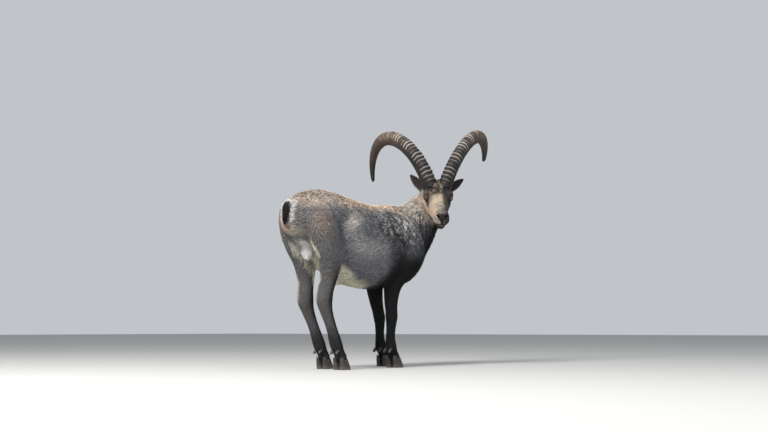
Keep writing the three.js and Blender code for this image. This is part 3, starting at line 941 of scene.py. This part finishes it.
def headMarks(h):
    x, y, z = h.T
    side = np.abs(y)
    uneven = (cloud(h, 14, 3) - 0.5) * 16
    roughX = x + uneven
    curl = 0.6 * cloud(h, 9, 4) + 0.4 * cloud(h, 5, 6)
    onTop = ramp(side + uneven, 40, 22) * ramp(z, -6, 10)
    crown = ramp(z + uneven * 0.5, 20, 34) * ramp(x + uneven * 0.8, 48, 22)
    lip = ramp(x + uneven * 0.7, 130, 148) * ramp(z + uneven * 0.3, -10, -24) * ramp(z, -70, -60)
    jaw = ramp(z + uneven, -58, -78) * ramp(x, 70, 30) * ramp(x, -80, -40) * ramp(y, 20, 0)
    layers = [
        ("nape", ramp(roughX, -50, -90)),
        # bridge of the nose, greyer towards the pad
        ("bridge", ramp(roughX, 10, 50) * onTop),
        ("cheek", 0.75 * onTop * ramp(curl, 0.42, 0.56)),
        ("forehead", 0.5 * onTop * ramp(roughX, 70, 40) * ramp(curl, 0.5, 0.38)),
        ("thigh", 0.8 * onTop * ramp(roughX, 70, 110) * ramp(curl, 0.3, 0.56)),
        # grey over the centre and left of the bridge towards the pad, kept off the right: partly painted
        # shade
        ("slate", 0.7 * onTop * ramp(roughX, 96, 140) * ramp(y + uneven * 0.4, -14, 8)),
        # curly mottled forehead, down to the level of the eyes
        ("forehead", crown),
        ("dark", 0.9 * crown * ramp(curl, 0.47, 0.57)),
        ("bridge", 0.6 * crown * ramp(curl, 0.42, 0.3)),
        # brown between the eye and the bridge and on the brow, dark lids, tear patch, pale strip below
        ("forehead", 0.75 * pairSpot(h, (34, 37, 16), (22, 9, 16))),
        ("forehead", 0.7 * pairSpot(h, (-4, 60, 36), (26, 20, 13))),
        ("dark", 0.92 * ramp(eyeGap(h) + uneven * 0.3, 26, 22)),
        ("slate", 1.5 * pairSpot(h, (30, 53, -14), (21, 14, 15))),
        ("white", 0.7 * pairSpot(h, (2, 66, -24), (22, 20, 6))),
        ("dark", 0.85 * ramp(y + uneven * 0.7, 11, 23) * ramp(x, -60, -20)),  # all down the left side: painted shade on the side turned from the light
        # jaw edge, muzzle, lips and chin
        ("bridge", 0.7 * jaw),
        ("dark", 0.6 * ramp(roughX, 150, 166) * ramp(z, -16, 2)),
        ("lip", 0.5 * pairSpot(h, (168, 16, 2), (12, 9, 8))),
        ("lip", lip * (1 - 0.55 * ramp(curl, 0.4, 0.62))),
        # painted shade on the left of the muzzle and lips
        ("dark", 0.92 * ramp(x, 116, 136) * ramp(y + uneven * 0.4, 5, 13) * ramp(z, 4, -6)),
        # dark chin and underside of the jaw: partly its own colour, partly painted shade under the mouth
        ("dark", 0.9 * ramp(x, 84, 120) * ramp(z + uneven * 0.4, -60, -70)),
        ("lip", 0.6 * pairSpot(h, (158, 18, -72), (14, 7, 6))),
        ("nose", padShare(h)),
        # dark mouth line: the lips' own dark edge, partly painted shade in the crease
        ("nose", band(mouthGap(h), 3.2) * ramp(x, 88, 112)),
    ]
    return layTones("cheek", layers)


def earMarks(h, n):
    layers = []
    for side in (-1, 1):
        root, ahead, opening, across = earFrame(side)
        offset = h - root
        t = offset @ ahead / ear["length"]
        wide = np.abs(offset @ across) / np.interp(t, [0, 0.2, 0.45, 0.7, 0.9, 1], [17, 22, 25, 20, 10, 3])
        facing = (n @ headTurn) @ opening
        mine = (h[:, 1] * side > 0) * 1.0
        layers.append(("earInside", mine * ramp(facing, 0.1, 0.4) * ramp(wide, 0.86, 0.7)))
        layers.append(("dark", mine * 0.6 * ramp(wide, 0.8, 0.95)))
    return layTones("earBack", layers)


def marks(p, n, shares, found):
    h = bodyToHead(p)
    onHead, onEar = shares["head"][:, None], shares["ear"][:, None]
    c = bodyMarks(p, n, shares, found) * (1 - onHead) + headMarks(h) * onHead
    return c * (1 - onEar) + earMarks(h, n) * onEar


skinPoints = toBody(readPoints(skin.data))
skinNormals = readNormals(skin.data)
skinShares, skinFound = locate(skinPoints)
storeColour(skin.data, "marks", marks(skinPoints, skinNormals, skinShares, skinFound) * 0.8)
storeNumber(skin.data, "bare", padShare(bodyToHead(skinPoints)) * skinShares["head"])


def skinMaterial():
    shade = Shade("skinUnderCoat")
    place = shade.place()
    marked = shade.attribute("marks", "Color")
    bare = shade.attribute("bare")
    fine = shade.noise(place, 420, 4, 0.6)
    edges = {"feature": "DISTANCE_TO_EDGE"}
    cells = shade.add("ShaderNodeTexVoronoi", edges, {"Vector": place, "Scale": 480.0})
    deeper = shade.mix(1.0, marked, (0.62, 0.6, 0.58, 1), "MULTIPLY")
    height = fine * (1 - bare) + shade.ramp(cells, 0.0, 0.14) * bare
    return shade.finish(
        Base_Color=shade.mix(shade.ramp(fine, 0.3, 0.75), deeper, marked),
        Roughness=0.82 - bare * 0.42,
        Normal=shade.bump(height, 0.5, 0.0012),
        Specular_IOR_Level=0.3,
    )


flesh = ["torso", "neck", "head", "tail", "scrotum", "ear_left", "ear_right"]
for limb in ("foreleg", "hindleg"):
    flesh += [f"{limb}_{part}_{word}" for part in ("upper", "lower") for word in ("left", "right")]
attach(skin, "root")
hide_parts(*flesh)
paint(skin, skinMaterial())
print("skin marked")

# Coat: tapered tufts that lie along the body, each a closed three-sided blade. Lift is the share of its
# length by which a tip stands off, and dense the number of tufts on a square centimetre.
coat = {
    "tufts": 148000,
    "perPiece": 19400,
    "patch": 0.003,
    "trunk": {"length": 30, "width": 3.9, "lift": 0.15, "dense": 4.1},
    "neck": {"length": 36, "width": 3.9, "lift": 0.19, "dense": 4.8},
    "tail": {"length": 40, "width": 3.6, "lift": 0.2, "dense": 9},
    "ear": {"length": 9, "width": 1.5, "lift": 0.12, "dense": 11},
    "leg": {  # heights, and the value at each
        "length": ([60, 200, 420, 560, 760], [9, 9, 12, 20, 26]),
        "width": ([60, 200, 420, 560, 760], [2.2, 2.2, 2.8, 3.4, 3.8]),
        "lift": ([60], [0.12]),
        "dense": ([60, 420, 600], [6.4, 5.6, 4.4]),
    },
    "face": {
        "at": [-120, -70, -20, 40, 100, 160, 190],
        "length": [24, 17, 10, 7, 5.5, 4, 3],
        "width": [3.4, 2.6, 1.7, 1.4, 1.2, 1.0, 0.9],
        "lift": [0.13] * 7,
        "dense": [6, 8, 16, 19, 22, 24, 24],
    },
    # added to the face's values, and by the eye a share of them
    "crown": {"length": 12, "width": 0.6, "lift": 0.3, "dense": 1},
    "beard": {"length": 17, "width": 1.2, "lift": 0.2, "dense": -6},
    "throat": {"length": 10, "width": 0.8, "lift": 0.08, "dense": -3},
    "eyeSide": {"length": -0.45, "width": -0.3, "lift": -0.3, "dense": 0.4},
}
legNames = ("foreRight", "foreLeft", "hindRight", "hindLeft")


def onCrown(h):
    return ramp(h[:, 2], 34, 48) * ramp(h[:, 0], 22, -4)


def growth(p, h, shares):
    # Length, width, lift and number of the tufts at the points
    x, y, z = p.T
    hx, side, hz = folded(h).T
    leg, face = coat["leg"], coat["face"]
    onLeg = sum(shares[name] for name in legNames)
    extra = {
        "crown": onCrown(h) * ramp(hx, -100, -70),
        "beard": ramp(hz, -66, -76) * ramp(hx, 84, 104) * ramp(side, 34, 22),
        "throat": ramp(hz, -70, -92) * ramp(hx, 84, 40),
    }
    nearEye = ramp(eyeGap(h), 34, 21)
    out = []
    for key in ("length", "width", "lift", "dense"):
        value = sum(shares[name] * coat[name][key] for name in ("trunk", "neck", "tail", "ear"))
        value = value + onLeg * np.interp(z, *leg[key])
        onFace = np.interp(hx, face["at"], face[key])
        for name, share in extra.items():
            onFace = onFace + coat[name][key] * share
        out.append(value + shares["head"] * onFace * (1 + coat["eyeSide"][key] * nearEye))
    length, width, lift, dense = out
    length = length * (1 + 0.35 * shares["trunk"] * ramp(z, 520, 420))
    length = length * (1 + 0.3 * spot(p, (420, 0, 600), (90, 90, 130)))
    length = length * (1 - 0.2 * shares["trunk"] * ramp(x, -260, -420))
    scrotum = spot(p, (-440, 0, 575), (44, 40, 60)) > 0.35
    return np.where(scrotum, 13, length), np.where(scrotum, 2.4, width), lift, dense


def bareSpots(p, h, n, shares):
    # Where no tuft grows: eyeball, nostrils, nose pad, mouth line and under the feet
    onHead = shares["head"] > 0.3
    at, reach, _ = head["nostril"]
    bare = eyeGap(h) < eye["radius"] + 1.5
    bare |= (((folded(h) - at) / reach) ** 2).sum(1) < 1.5
    bare |= (padShare(h) > 0.35) & onHead
    bare |= (np.abs(mouthGap(h)) < 2.4) & (h[:, 0] > 90) & onHead
    bare |= (p[:, 2] < 57) & (n[:, 2] < -0.5)
    return bare


def hairLie(p, h, n, shares, found):
    # Direction in which the hair lies, along the skin
    back = np.array([-0.25, 0, 0])
    fall = 0.3 + 0.5 * ramp(p[:, 0], -420, -560)
    hang = ramp(h[:, 2], -60, -84)[:, None]
    chinward = headTurn @ np.array([-0.35, 0, -1.0])
    swirl = np.stack([cloud(h, 13, seed) - 0.5 for seed in (7, 8, 9)], 1) @ headTurn.T * 3.4
    lies = {
        "trunk": -found["trunk"]["ahead"] - fall[:, None] * [0, 0, 1],
        "neck": -found["neck"]["ahead"] + [-0.25, 0, -0.1],
        "tail": found["tail"]["ahead"],
        "head": -found["head"]["ahead"] * (1 - hang) + chinward * hang + swirl * onCrown(h)[:, None],
    }
    lies.update({name: found[name]["ahead"] + back for name in legNames})
    flow = sum(shares[name][:, None] * lie for name, lie in lies.items())
    for side in (-1, 1):
        flow += ((h[:, 1] * side > 0) * shares["ear"])[:, None] * (headTurn @ earFrame(side)[1])
    sway = np.stack([cloud(p, 42, seed) - 0.5 for seed in (11, 12, 13)], 1) * 0.42
    flow = unit(flow) + sway * (1 - 0.8 * (shares["head"] + shares["ear"]))[:, None]
    flow -= (flow * n).sum(1)[:, None] * n
    return unit(flow)


def unwrapPlace(shares, found, h):
    # Each limb rolled flat: the angle round it and the distance along it
    names = list(measureLimbs) + ["ear"]
    owner = np.argmax(np.stack([shares[k] for k in names]), 0)
    u, v = np.zeros(len(h)), np.zeros(len(h))
    for k, name in enumerate(names[:-1]):
        mine = owner == k
        u[mine] = (found[name]["angle"][mine] / (2 * math.pi)) % 1
        v[mine] = found[name]["along"][mine] / found[name]["length"]
    for side in (-1, 1):
        root, ahead, opening, across = earFrame(side)
        mine = (owner == len(names) - 1) & (h[:, 1] * side > 0)
        offset = h[mine] - root
        around = np.arctan2(offset @ across, offset @ opening)
        u[mine] = (around / (2 * math.pi)) % 1 * 0.5 + (0.5 if side > 0 else 0)
        v[mine] = np.clip(offset @ ahead / ear["length"], 0, 1)
    return owner, names, u, v


def scatterRoots():
    mesh = skin.data
    mesh.calc_loop_triangles()
    corners = np.empty(len(mesh.loop_triangles) * 3, np.int32)
    mesh.loop_triangles.foreach_get("vertices", corners)
    corners = corners.reshape(-1, 3)
    a, b, c = (skinPoints[corners[:, k]] for k in range(3))
    area = np.linalg.norm(np.cross(b - a, c - a), axis=1) / 200
    middle = (a + b + c) / 3
    faceShares = {k: s[corners].mean(1) for k, s in skinShares.items()}
    dense = growth(middle, bodyToHead(middle), faceShares)[3]
    wanted = np.cumsum(area * dense)
    print("tufts asked for", int(wanted[-1]))
    count = int(min(wanted[-1], coat["tufts"]))
    pick = (np.arange(count) + chance.random(count)) / count * wanted[-1]
    face = np.searchsorted(wanted, pick).clip(0, len(wanted) - 1)
    r, s = chance.random((2, count))
    flip = r + s > 1
    r, s = np.where(flip, 1 - r, r), np.where(flip, 1 - s, s)
    weight = np.stack([1 - r - s, r, s], 1)

    def take(values):
        return (values[corners[face]] * weight[..., None]).sum(1)

    return take(skinPoints), unit(take(skinNormals))


def onSkin(tree, points):
    # The nearest places on the skin, with the way out of it
    near = [tree.find_nearest(point)[:2] for point in points.tolist()]
    return np.array([at[:] for at, _ in near]), np.array([out[:] for _, out in near])


bladeFaces = [(0, 1, 2), (0, 3, 4), (0, 4, 1), (1, 4, 5), (1, 5, 2), (2, 5, 3), (2, 3, 0)]
bladeFaces += [(4, 3, 6), (5, 4, 6), (3, 5, 6)]
bladePatch = [(0.1, 0.1), (0.9, 0.1), (0.5, 0.3), (0.2, 0.6), (0.8, 0.6), (0.5, 0.5), (0.5, 0.95)]
bladeFade = np.array([0.62, 0.62, 0.66, 0.96, 0.96, 1.0, 1.14])  # darker at the root, paler at the tip


def bladeMesh(name, at, width, across, out, colour, unwrap):
    # at holds root, middle and tip of each tuft
    n = len(width)
    half = (width / 2)[:, None]
    thick = (width * 0.24)[:, None]
    root, middle, tip = at
    corners = [root + across * half, root - across * half, root + out[0] * thick * 1.5]
    corners += [middle + across * half * 0.84, middle - across * half * 0.84, middle + out[1] * thick, tip]
    points = np.stack(corners, 1).reshape(-1, 3)
    index = (np.array(bladeFaces) + 7 * np.arange(n)[:, None, None]).reshape(-1)
    mesh = bpy.data.meshes.new(name)
    mesh.vertices.add(n * 7)
    mesh.vertices.foreach_set("co", toScene(points).ravel())
    mesh.loops.add(len(index))
    mesh.loops.foreach_set("vertex_index", index.astype(np.int32))
    mesh.polygons.add(n * len(bladeFaces))
    mesh.polygons.foreach_set("loop_start", np.arange(0, len(index), 3, dtype=np.int32))
    mesh.update(calc_edges=True)
    mesh.shade_smooth()
    storeColour(mesh, "marks", (colour[:, None] * bladeFade[:, None]).reshape(-1, 3).clip(0, 1))
    # each tuft's patch, at its root's place on the unwrapped skin
    patch = unwrap[:, None] * 0.98 + 0.01 + (np.array(bladePatch) - 0.5) * coat["patch"]
    layer = mesh.uv_layers.new(name="OFBake")
    layer.data.foreach_set("uv", patch.reshape(-1, 2)[index].astype(np.float32).ravel())
    piece = bpy.data.objects.new(name, mesh)
    bpy.context.collection.objects.link(piece)
    return piece


def coatMaterial():
    shade = Shade("coatHair")
    marked = shade.attribute("marks", "Color")
    fine = shade.noise(shade.place(), 330, 3, 0.6)
    deeper = shade.mix(1.0, marked, (0.74, 0.72, 0.7, 1), "MULTIPLY")
    return shade.finish(
        Base_Color=shade.mix(shade.ramp(fine, 0.3, 0.7), deeper, marked),
        Roughness=0.62 + fine * 0.2,
        Normal=shade.bump(fine, 0.35, 0.0006),
        Specular_IOR_Level=0.35,
    )


def growCoat():
    roots, normals = scatterRoots()
    h = bodyToHead(roots)
    shares, found = locate(roots)
    kept = ~bareSpots(roots, h, normals, shares)
    roots, normals, h = roots[kept], normals[kept], h[kept]
    shares = {k: s[kept] for k, s in shares.items()}
    found = {k: {m: (v[kept] if np.ndim(v) else v) for m, v in one.items()} for k, one in found.items()}
    length, width, lift, _ = growth(roots, h, shares)
    n = len(roots)
    vary = chance.normal(0, 1, (4, n))
    length = length * np.exp(0.16 * vary[0])
    width = width * np.exp(0.12 * vary[1])
    lie = hairLie(roots, h, normals, shares, found)
    aside = np.cross(lie, normals)
    lie = unit(lie + aside * (0.13 * vary[2])[:, None])
    across = unit(np.cross(lie, normals))
    colour = marks(roots, normals, shares, found)
    colour = colour * np.exp(0.17 * vary[3])[:, None]
    skinTree = BVHTree.FromPolygons(
        skinPoints.tolist(), [tuple(face.vertices) for face in skin.data.polygons], all_triangles=False
    )
    middle, middleOut = onSkin(skinTree, roots + lie * (length * 0.45)[:, None])
    tip, tipOut = onSkin(skinTree, roots + lie * length[:, None])
    stand = length * lift * (0.55 + 0.9 * chance.random(n))
    middle = middle + middleOut * (0.35 * stand + 0.25 * width)[:, None]
    tip = tip + tipOut * stand[:, None] + across * (length * 0.05 * chance.normal(0, 1, n))[:, None]
    base = roots - normals * 0.9
    owner, names, u, v = unwrapPlace(shares, found, h)
    finish = coatMaterial()
    for k, name in enumerate(names):
        mine = np.flatnonzero(owner == k)
        mine = mine[np.argsort(v[mine])]
        pieces = math.ceil(len(mine) / coat["perPiece"])
        for i, chosen in enumerate(np.array_split(mine, pieces) if pieces else []):
            low, high = v[chosen].min(), v[chosen].max()
            unwrap = np.stack([u[chosen], (v[chosen] - low) / max(high - low, 1e-6)], 1)
            at = (base[chosen], middle[chosen], tip[chosen])
            out = (normals[chosen], middleOut[chosen])
            title = f"coat{name[0].upper()}{name[1:]}{i + 1}"
            piece = bladeMesh(title, at, width[chosen], across[chosen], out, colour[chosen], unwrap)
            paint(piece, finish)
            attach(piece, "root")
    print("coat grown:", n, "tufts")


growCoat()


# Eyes
eyeLook = {
    "iris": (0.17, 0.085, 0.022, 1),
    "fibre": (0.09, 0.045, 0.014, 1),
    "rim": (0.012, 0.008, 0.006, 1),
    "white": (0.05, 0.03, 0.022, 1),
    "pupil": (0.003, 0.003, 0.004, 1),
    "cornea": 0.035,
}


def eyeMaterial(side):
    shade = Shade("eyeWet")
    at = toScene(headToBody(onSide(eye["at"], side)))
    axis = headTurn @ eyeAxis(side)
    level = unit(np.cross(headTurn @ np.array([0.0, 0.0, 1.0]), axis))
    turn = Matrix([axis, level, np.cross(axis, level)]).to_euler("XYZ")
    local = shade.mapping(shade.mapping(shade.place(), at=tuple(-at)), turn=tuple(turn))
    size = 1 / (eye["radius"] * headPose["scale"] * mm)
    across, rise = shade.part(local, 1) * size, shade.part(local, 2) * size
    away = (across * across + rise * rise) ** 0.5
    slot = ((across * 2.1) ** 4 + (rise * 5.0) ** 4) ** 0.25
    fibres = shade.noise(shade.mapping(local, size=(60, 60, 60)), 12, 3)
    colour = shade.mix(shade.ramp(fibres, 0.35, 0.7), eyeLook["fibre"], eyeLook["iris"])
    colour = shade.mix(shade.ramp(away, 0.5, 0.62), colour, eyeLook["rim"])
    colour = shade.mix(shade.ramp(away, 0.66, 0.8), colour, eyeLook["white"])
    colour = shade.mix(shade.ramp(slot, 1.08, 0.94), colour, eyeLook["pupil"])
    return shade.finish(Base_Color=colour, Roughness=0.08, Coat_Weight=1.0, Coat_Roughness=0.02)


for side, word in ((-1, "right"), (1, "left")):
    piece = roundLump("eyeball" + word.title(), (0, 0, 0), (1, 1, 1), wide=64, high=48)
    ball = toBody(readPoints(piece.data)) * eye["radius"]
    axis = eyeAxis(side)
    # the cornea stands out, and the back is cut off flat inside the socket
    ball *= (1 + eyeLook["cornea"] * ramp(ball @ axis / eye["radius"], 0.72, 0.9))[:, None]
    ball -= np.minimum(0, ball @ axis + 4)[:, None] * axis
    writePoints(piece.data, toScene(headToBody(ball + onSide(eye["at"], side))))
    tidy(piece, 1e-7)
    smoothShade(piece)
    paint(piece, eyeMaterial(side))
    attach(piece, "root")
    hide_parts("eye_" + word)
print("eyes set")

# Horns: a bent and twisted sweep with cross ridges on the front, worn pale and painted with a highlight
horn = {
    "length": 971,
    "base": (-57, 41, 55),
    "halfDepth": 41,
    "halfWidth": 30,
    "knobs": 30,
    "knobShare": 0.7,
    "knobHeight": 7,
    "root": 24,
    "right": {"lean": 30.5, "spread": 21.6, "bend": (2.206, 0.721, -0.337), "twist": (1.677, -1.476)},
    "left": {"lean": 31.9, "spread": 22.3, "bend": (1.965, 0.461, -0.459), "twist": (1.567, -1.196)},
    "rings": 460,
    "around": 60,
    "rootTone": (0.007, 0.0065, 0.0075, 1),
    "middleTone": (0.055, 0.034, 0.025, 1),
    "tipTone": (0.018, 0.014, 0.014, 1),
    "brownTone": (0.07, 0.05, 0.038, 1),
    "buffTone": (0.18, 0.13, 0.095, 1),
    "wornAndHighlightTone": (0.32, 0.29, 0.255, 1),
    "grimeTone": (0.02, 0.016, 0.015, 1),
}


def hornHeading(side, s):
    shape = horn["right" if side < 0 else "left"]
    spread = math.radians(shape["spread"])
    s = np.asarray(s, float)[..., None]
    turn = math.radians(shape["lean"]) + sum(b * s ** (i + 1) for i, b in enumerate(shape["bend"]))
    roll = sum(b * s ** (i + 1) for i, b in enumerate(shape["twist"]))
    level = np.cos(turn) * np.array([0, side * math.sin(spread), math.cos(spread)])
    level = level - np.sin(turn) * np.array([1.0, 0, 0])
    aside = np.array([0, side * math.cos(spread), -math.sin(spread)])
    return level * np.cos(roll) + aside * np.sin(roll)


def buildHorn(side, word):
    length = horn["length"] / headPose["scale"]
    s = np.concatenate([np.linspace(-horn["root"] / length, 0, 6)[:-1], np.linspace(0, 1, horn["rings"])])
    heading = hornHeading(side, np.maximum(s, 0))
    base = onSide(horn["base"], side) - horn["root"] * hornHeading(side, 0.0)
    middle = hornHeading(side, np.maximum((s[1:] + s[:-1]) / 2, 0)) * (np.diff(s) * length)[:, None]
    at = base + np.vstack([[0, 0, 0], np.cumsum(middle, 0)])
    curl = hornHeading(side, np.clip(s + 0.02, 0.02, 1)) - hornHeading(side, np.clip(s - 0.02, 0, 0.98))
    front = -unit(curl - (curl * heading).sum(1)[:, None] * heading)
    across = np.cross(heading, front)
    taper = 1 - 0.3 * s - 0.45 * np.maximum(s, 0) ** 3.6
    taper = taper * np.sqrt(np.clip(1 - np.clip((s - 0.975) / 0.025, 0, 1) ** 2, 0.02, 1))
    phase = s / horn["knobShare"] * horn["knobs"]
    index = np.floor(phase)
    part = phase - index
    # a ridge rises steeply from below and falls off slowly towards the tip
    rising = np.sin(np.clip(part / 0.5, 0, 1) * math.pi / 2) ** 2
    ridge = np.where(part < 0.5, rising, np.exp(-(((part - 0.5) / 0.24) ** 2)))
    fade = np.clip((horn["knobShare"] - s) / 0.3, 0, 1) * (s > 0)
    uneven = 0.8 + 0.2 * np.sin((2 * index + 2) * 2.4)
    ridge = ridge * fade * uneven
    angle = (np.arange(horn["around"]) + 0.5) / horn["around"] * 2 * math.pi
    rise, aside = (np.sign(way) * np.abs(way) ** 0.8 for way in (np.sin(angle), np.cos(angle)))
    frontness = ramp(np.sin(angle), -0.1, 0.55)
    wobble = 1 + 0.10 * np.sin(angle * 5 + index[:, None] * 1.7) * frontness
    lift = horn["knobHeight"] * taper[:, None] * ridge[:, None] * wobble
    growthLines = 0.5 * np.sin(s * length / 2.6)[:, None] * (0.4 + 0.6 * (1 - frontness)) * taper[:, None]
    half = horn["halfWidth"] * taper[:, None] + 0.3 * lift * (0.4 + 0.6 * frontness) + growthLines
    reach = horn["halfDepth"] * taper[:, None] + lift * frontness * (rise > 0) + growthLines
    rings = at[:, None] + across[:, None] * (half * aside)[..., None]
    rings = rings + front[:, None] * (reach * rise)[..., None]
    piece = rollTube("horn" + word.title(), headToBody(rings))
    points = bodyToHead(toBody(readPoints(piece.data)))
    nearest = nearestRow(points, at)
    outward = ((points - at[nearest]) * front[nearest]).sum(1)
    aroundIt = ((points - at[nearest]) * across[nearest]).sum(1)
    facing = outward / np.maximum(np.hypot(outward, aroundIt), 1e-6)
    storeNumber(piece.data, "ridge", ridge[nearest] * ramp(facing, 0.1, 0.6))
    storeNumber(piece.data, "along", s[nearest])
    storeNumber(piece.data, "facing", facing)
    smoothShade(piece)
    return piece


def hornMaterial():
    shade = Shade("hornKeratin")
    place = shade.place()
    ridge, along, facing = (shade.attribute(name) for name in ("ridge", "along", "facing"))
    blotch = shade.noise(place, 26, 4, 0.6)
    grain = shade.noise(place, 210, 4, 0.65)
    streak = shade.noise(shade.mapping(place, size=(1.0, 1.0, 2.4)), 95, 4, 0.7)
    colour = shade.mix(shade.ramp(along, 0.1, 0.5), horn["rootTone"], horn["middleTone"])
    colour = shade.mix(shade.ramp(along, 0.78, 0.95), colour, horn["tipTone"])
    colour = shade.mix(shade.ramp(blotch, 0.5, 0.75) * 0.4, colour, horn["brownTone"])
    buff = shade.ramp(blotch + streak * 0.3, 0.45, 0.8) * shade.ramp(facing, -0.5, 0.5)
    buff = buff * shade.ramp(along, 0.28, 0.55) * shade.ramp(along, 0.85, 0.6)
    colour = shade.mix(buff, colour, horn["buffTone"])
    # the ridges are worn pale and carry a painted highlight, less so near the root
    wornAndHighlight = shade.ramp(ridge * (0.15 + blotch * 0.75 + streak * 0.95), 0.44, 0.82)
    colour = shade.mix(wornAndHighlight * (0.5 + shade.ramp(along, 0.06, 0.3) * 0.5), colour, horn["wornAndHighlightTone"])
    colour = shade.mix(shade.ramp(grain, 0.35, 0.7) * 0.35, colour, horn["grimeTone"])
    return shade.finish(
        Base_Color=colour,
        Roughness=0.46 + grain * 0.3,
        Normal=shade.bump(grain * 0.6 + blotch * 0.4, 0.45, 0.0015),
        Specular_IOR_Level=0.28,
    )


hornFinish = hornMaterial()
for side, word in ((-1, "right"), (1, "left")):
    piece = buildHorn(side, word)
    paint(piece, hornFinish)
    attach(piece, "root")
    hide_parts("horn_" + word)
    print("horn", word, faceCount(piece))


# Hooves and dewclaws
hoof = {
    "voxel": 2.2,
    "clawHeight": 98,
    "clawDrop": 21,
    "clawBack": 22,
    "clawSize": 9.5,
    "clawAt": {"fore": -22, "hind": -34},
    "darkTone": (0.012, 0.011, 0.011, 1),
    "paleTone": (0.05, 0.042, 0.036, 1),
    "dustTone": (0.13, 0.11, 0.09, 1),
}


def hoofMaterial():
    shade = Shade("hoofHorn")
    place = shade.place()
    grain = shade.noise(shade.mapping(place, size=(260, 260, 40)), 1.0, 4)
    rings = shade.noise(shade.mapping(place, size=(14, 14, 420)), 1.0, 2)
    colour = shade.mix(shade.ramp(grain, 0.35, 0.7), hoof["darkTone"], hoof["paleTone"])
    colour = shade.mix(shade.ramp(shade.part(place, 2), 0.022, 0.002) * 0.55, colour, hoof["dustTone"])
    return shade.finish(
        Base_Color=colour,
        Roughness=0.42 + grain * 0.25,
        Normal=shade.bump(rings + grain * 0.4, 0.4, 0.0015),
    )


hoofFinish = hoofMaterial()
for name, node in sorted(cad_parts.items()):
    if not name.startswith("hoof_"):
        continue
    piece = bpy.data.objects.new(name.replace("hoof_", "toe_"), node.data.copy())
    bpy.context.collection.objects.link(piece)
    tidy(piece, 1e-5)
    remesh(piece, hoof["voxel"])
    relax(piece, 5)
    points = readPoints(piece.data)
    points[:, 2] = np.where(points[:, 2] < 0.0014, 0, points[:, 2])  # the sole stays flat on the floor
    writePoints(piece.data, points)
    smoothShade(piece)
    paint(piece, hoofFinish)
    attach(piece, "root")
    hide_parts(name)


def buildClaw(limb, word, side, out):
    height = hoof["clawHeight"]
    share = height / body["pivotHeight"]
    foot = body[limb + "Foot"]
    x = foot[0] + hoof["clawAt"][limb] + body["swing"][limb + word] * (1 - share * share)
    angle = np.arange(20)[:, None] / 20 * 2 * math.pi
    rings = []
    for t in np.linspace(0, 1, 13):
        y = side * foot[1] + out * (15 + 2 * t)
        at = np.array([x - hoof["clawBack"] * t, y, height - hoof["clawDrop"] * t])
        size = hoof["clawSize"] * math.sqrt(max(1 - t**2.6, 0.02)) * (1 + 0.04 * math.sin(t * 40))
        ring = np.cos(angle) * [0, 1, 0] + np.sin(angle) * 0.85 * np.array([0.6, 0, -0.8])
        rings.append(at + ring * size)
    return rollTube("claw", np.array(rings))


claws = []
for limb in ("fore", "hind"):
    for word, side in (("Right", -1), ("Left", 1)):
        claws += [buildClaw(limb, word, side, out) for out in (-1, 1)]
claws = joinUp("dewclaws", claws)
smoothShade(claws)
paint(claws, hoofFinish)
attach(claws, "root")
print("hooves made")

# Floor, light and camera
studio = {
    "camera": (-4.413, -3.448, 0.2),
    "heading": 53.13,
    "pitch": 6.03,
    "lens": 50.39,
    "floor": (0.44, 0.44, 0.43, 1),
    "key": {"at": (-5.0, -0.6, 4.6), "power": 700, "size": 1.8, "tint": (1, 0.97, 0.93)},
    "fill": {"at": (-1.5, -5.0, 2.0), "power": 80, "size": 4, "tint": (0.9, 0.95, 1)},
    "skyTone": (0.86, 0.9, 0.95, 1),
    "sky": 0.62,
}
deselect()
bpy.ops.mesh.primitive_plane_add(size=60, location=(0, 0, 0))
floor = bpy.context.object
floor.name = "floor"
floor.data.materials.append(Shade("paleFloor").finish(Base_Color=studio["floor"], Roughness=0.9))

cameraData = bpy.data.cameras.new("camera")
cameraData.lens = studio["lens"]
cameraData.sensor_width = 36
camera = bpy.data.objects.new("camera", cameraData)
bpy.context.collection.objects.link(camera)
heading, pitch = math.radians(studio["heading"]), math.radians(studio["pitch"])
look = Vector((math.sin(heading) * math.cos(pitch), math.cos(heading) * math.cos(pitch), math.sin(pitch)))
camera.location = (studio["camera"][0] + standsAt[0], studio["camera"][1] + standsAt[1], studio["camera"][2])
camera.rotation_euler = look.to_track_quat("-Z", "Y").to_euler()
bpy.context.scene.camera = camera


def softLight(name, aim=(0, 0, 0.7)):
    look = studio[name]
    data = bpy.data.lights.new(name + "Light", "AREA")
    data.energy = look["power"]
    data.size = look["size"]
    data.color = look["tint"]
    light = bpy.data.objects.new(name + "Light", data)
    bpy.context.collection.objects.link(light)
    light.location = look["at"]
    light.rotation_euler = (Vector(aim) - Vector(look["at"])).to_track_quat("-Z", "Y").to_euler()


softLight("key")
softLight("fill")
world = bpy.data.worlds.new("studioWorld")
bpy.context.scene.world = world
world.use_nodes = True
sky = world.node_tree.nodes["Background"].inputs
sky["Color"].default_value = studio["skyTone"]
sky["Strength"].default_value = studio["sky"]
bpy.context.scene.view_settings.view_transform = "Standard"
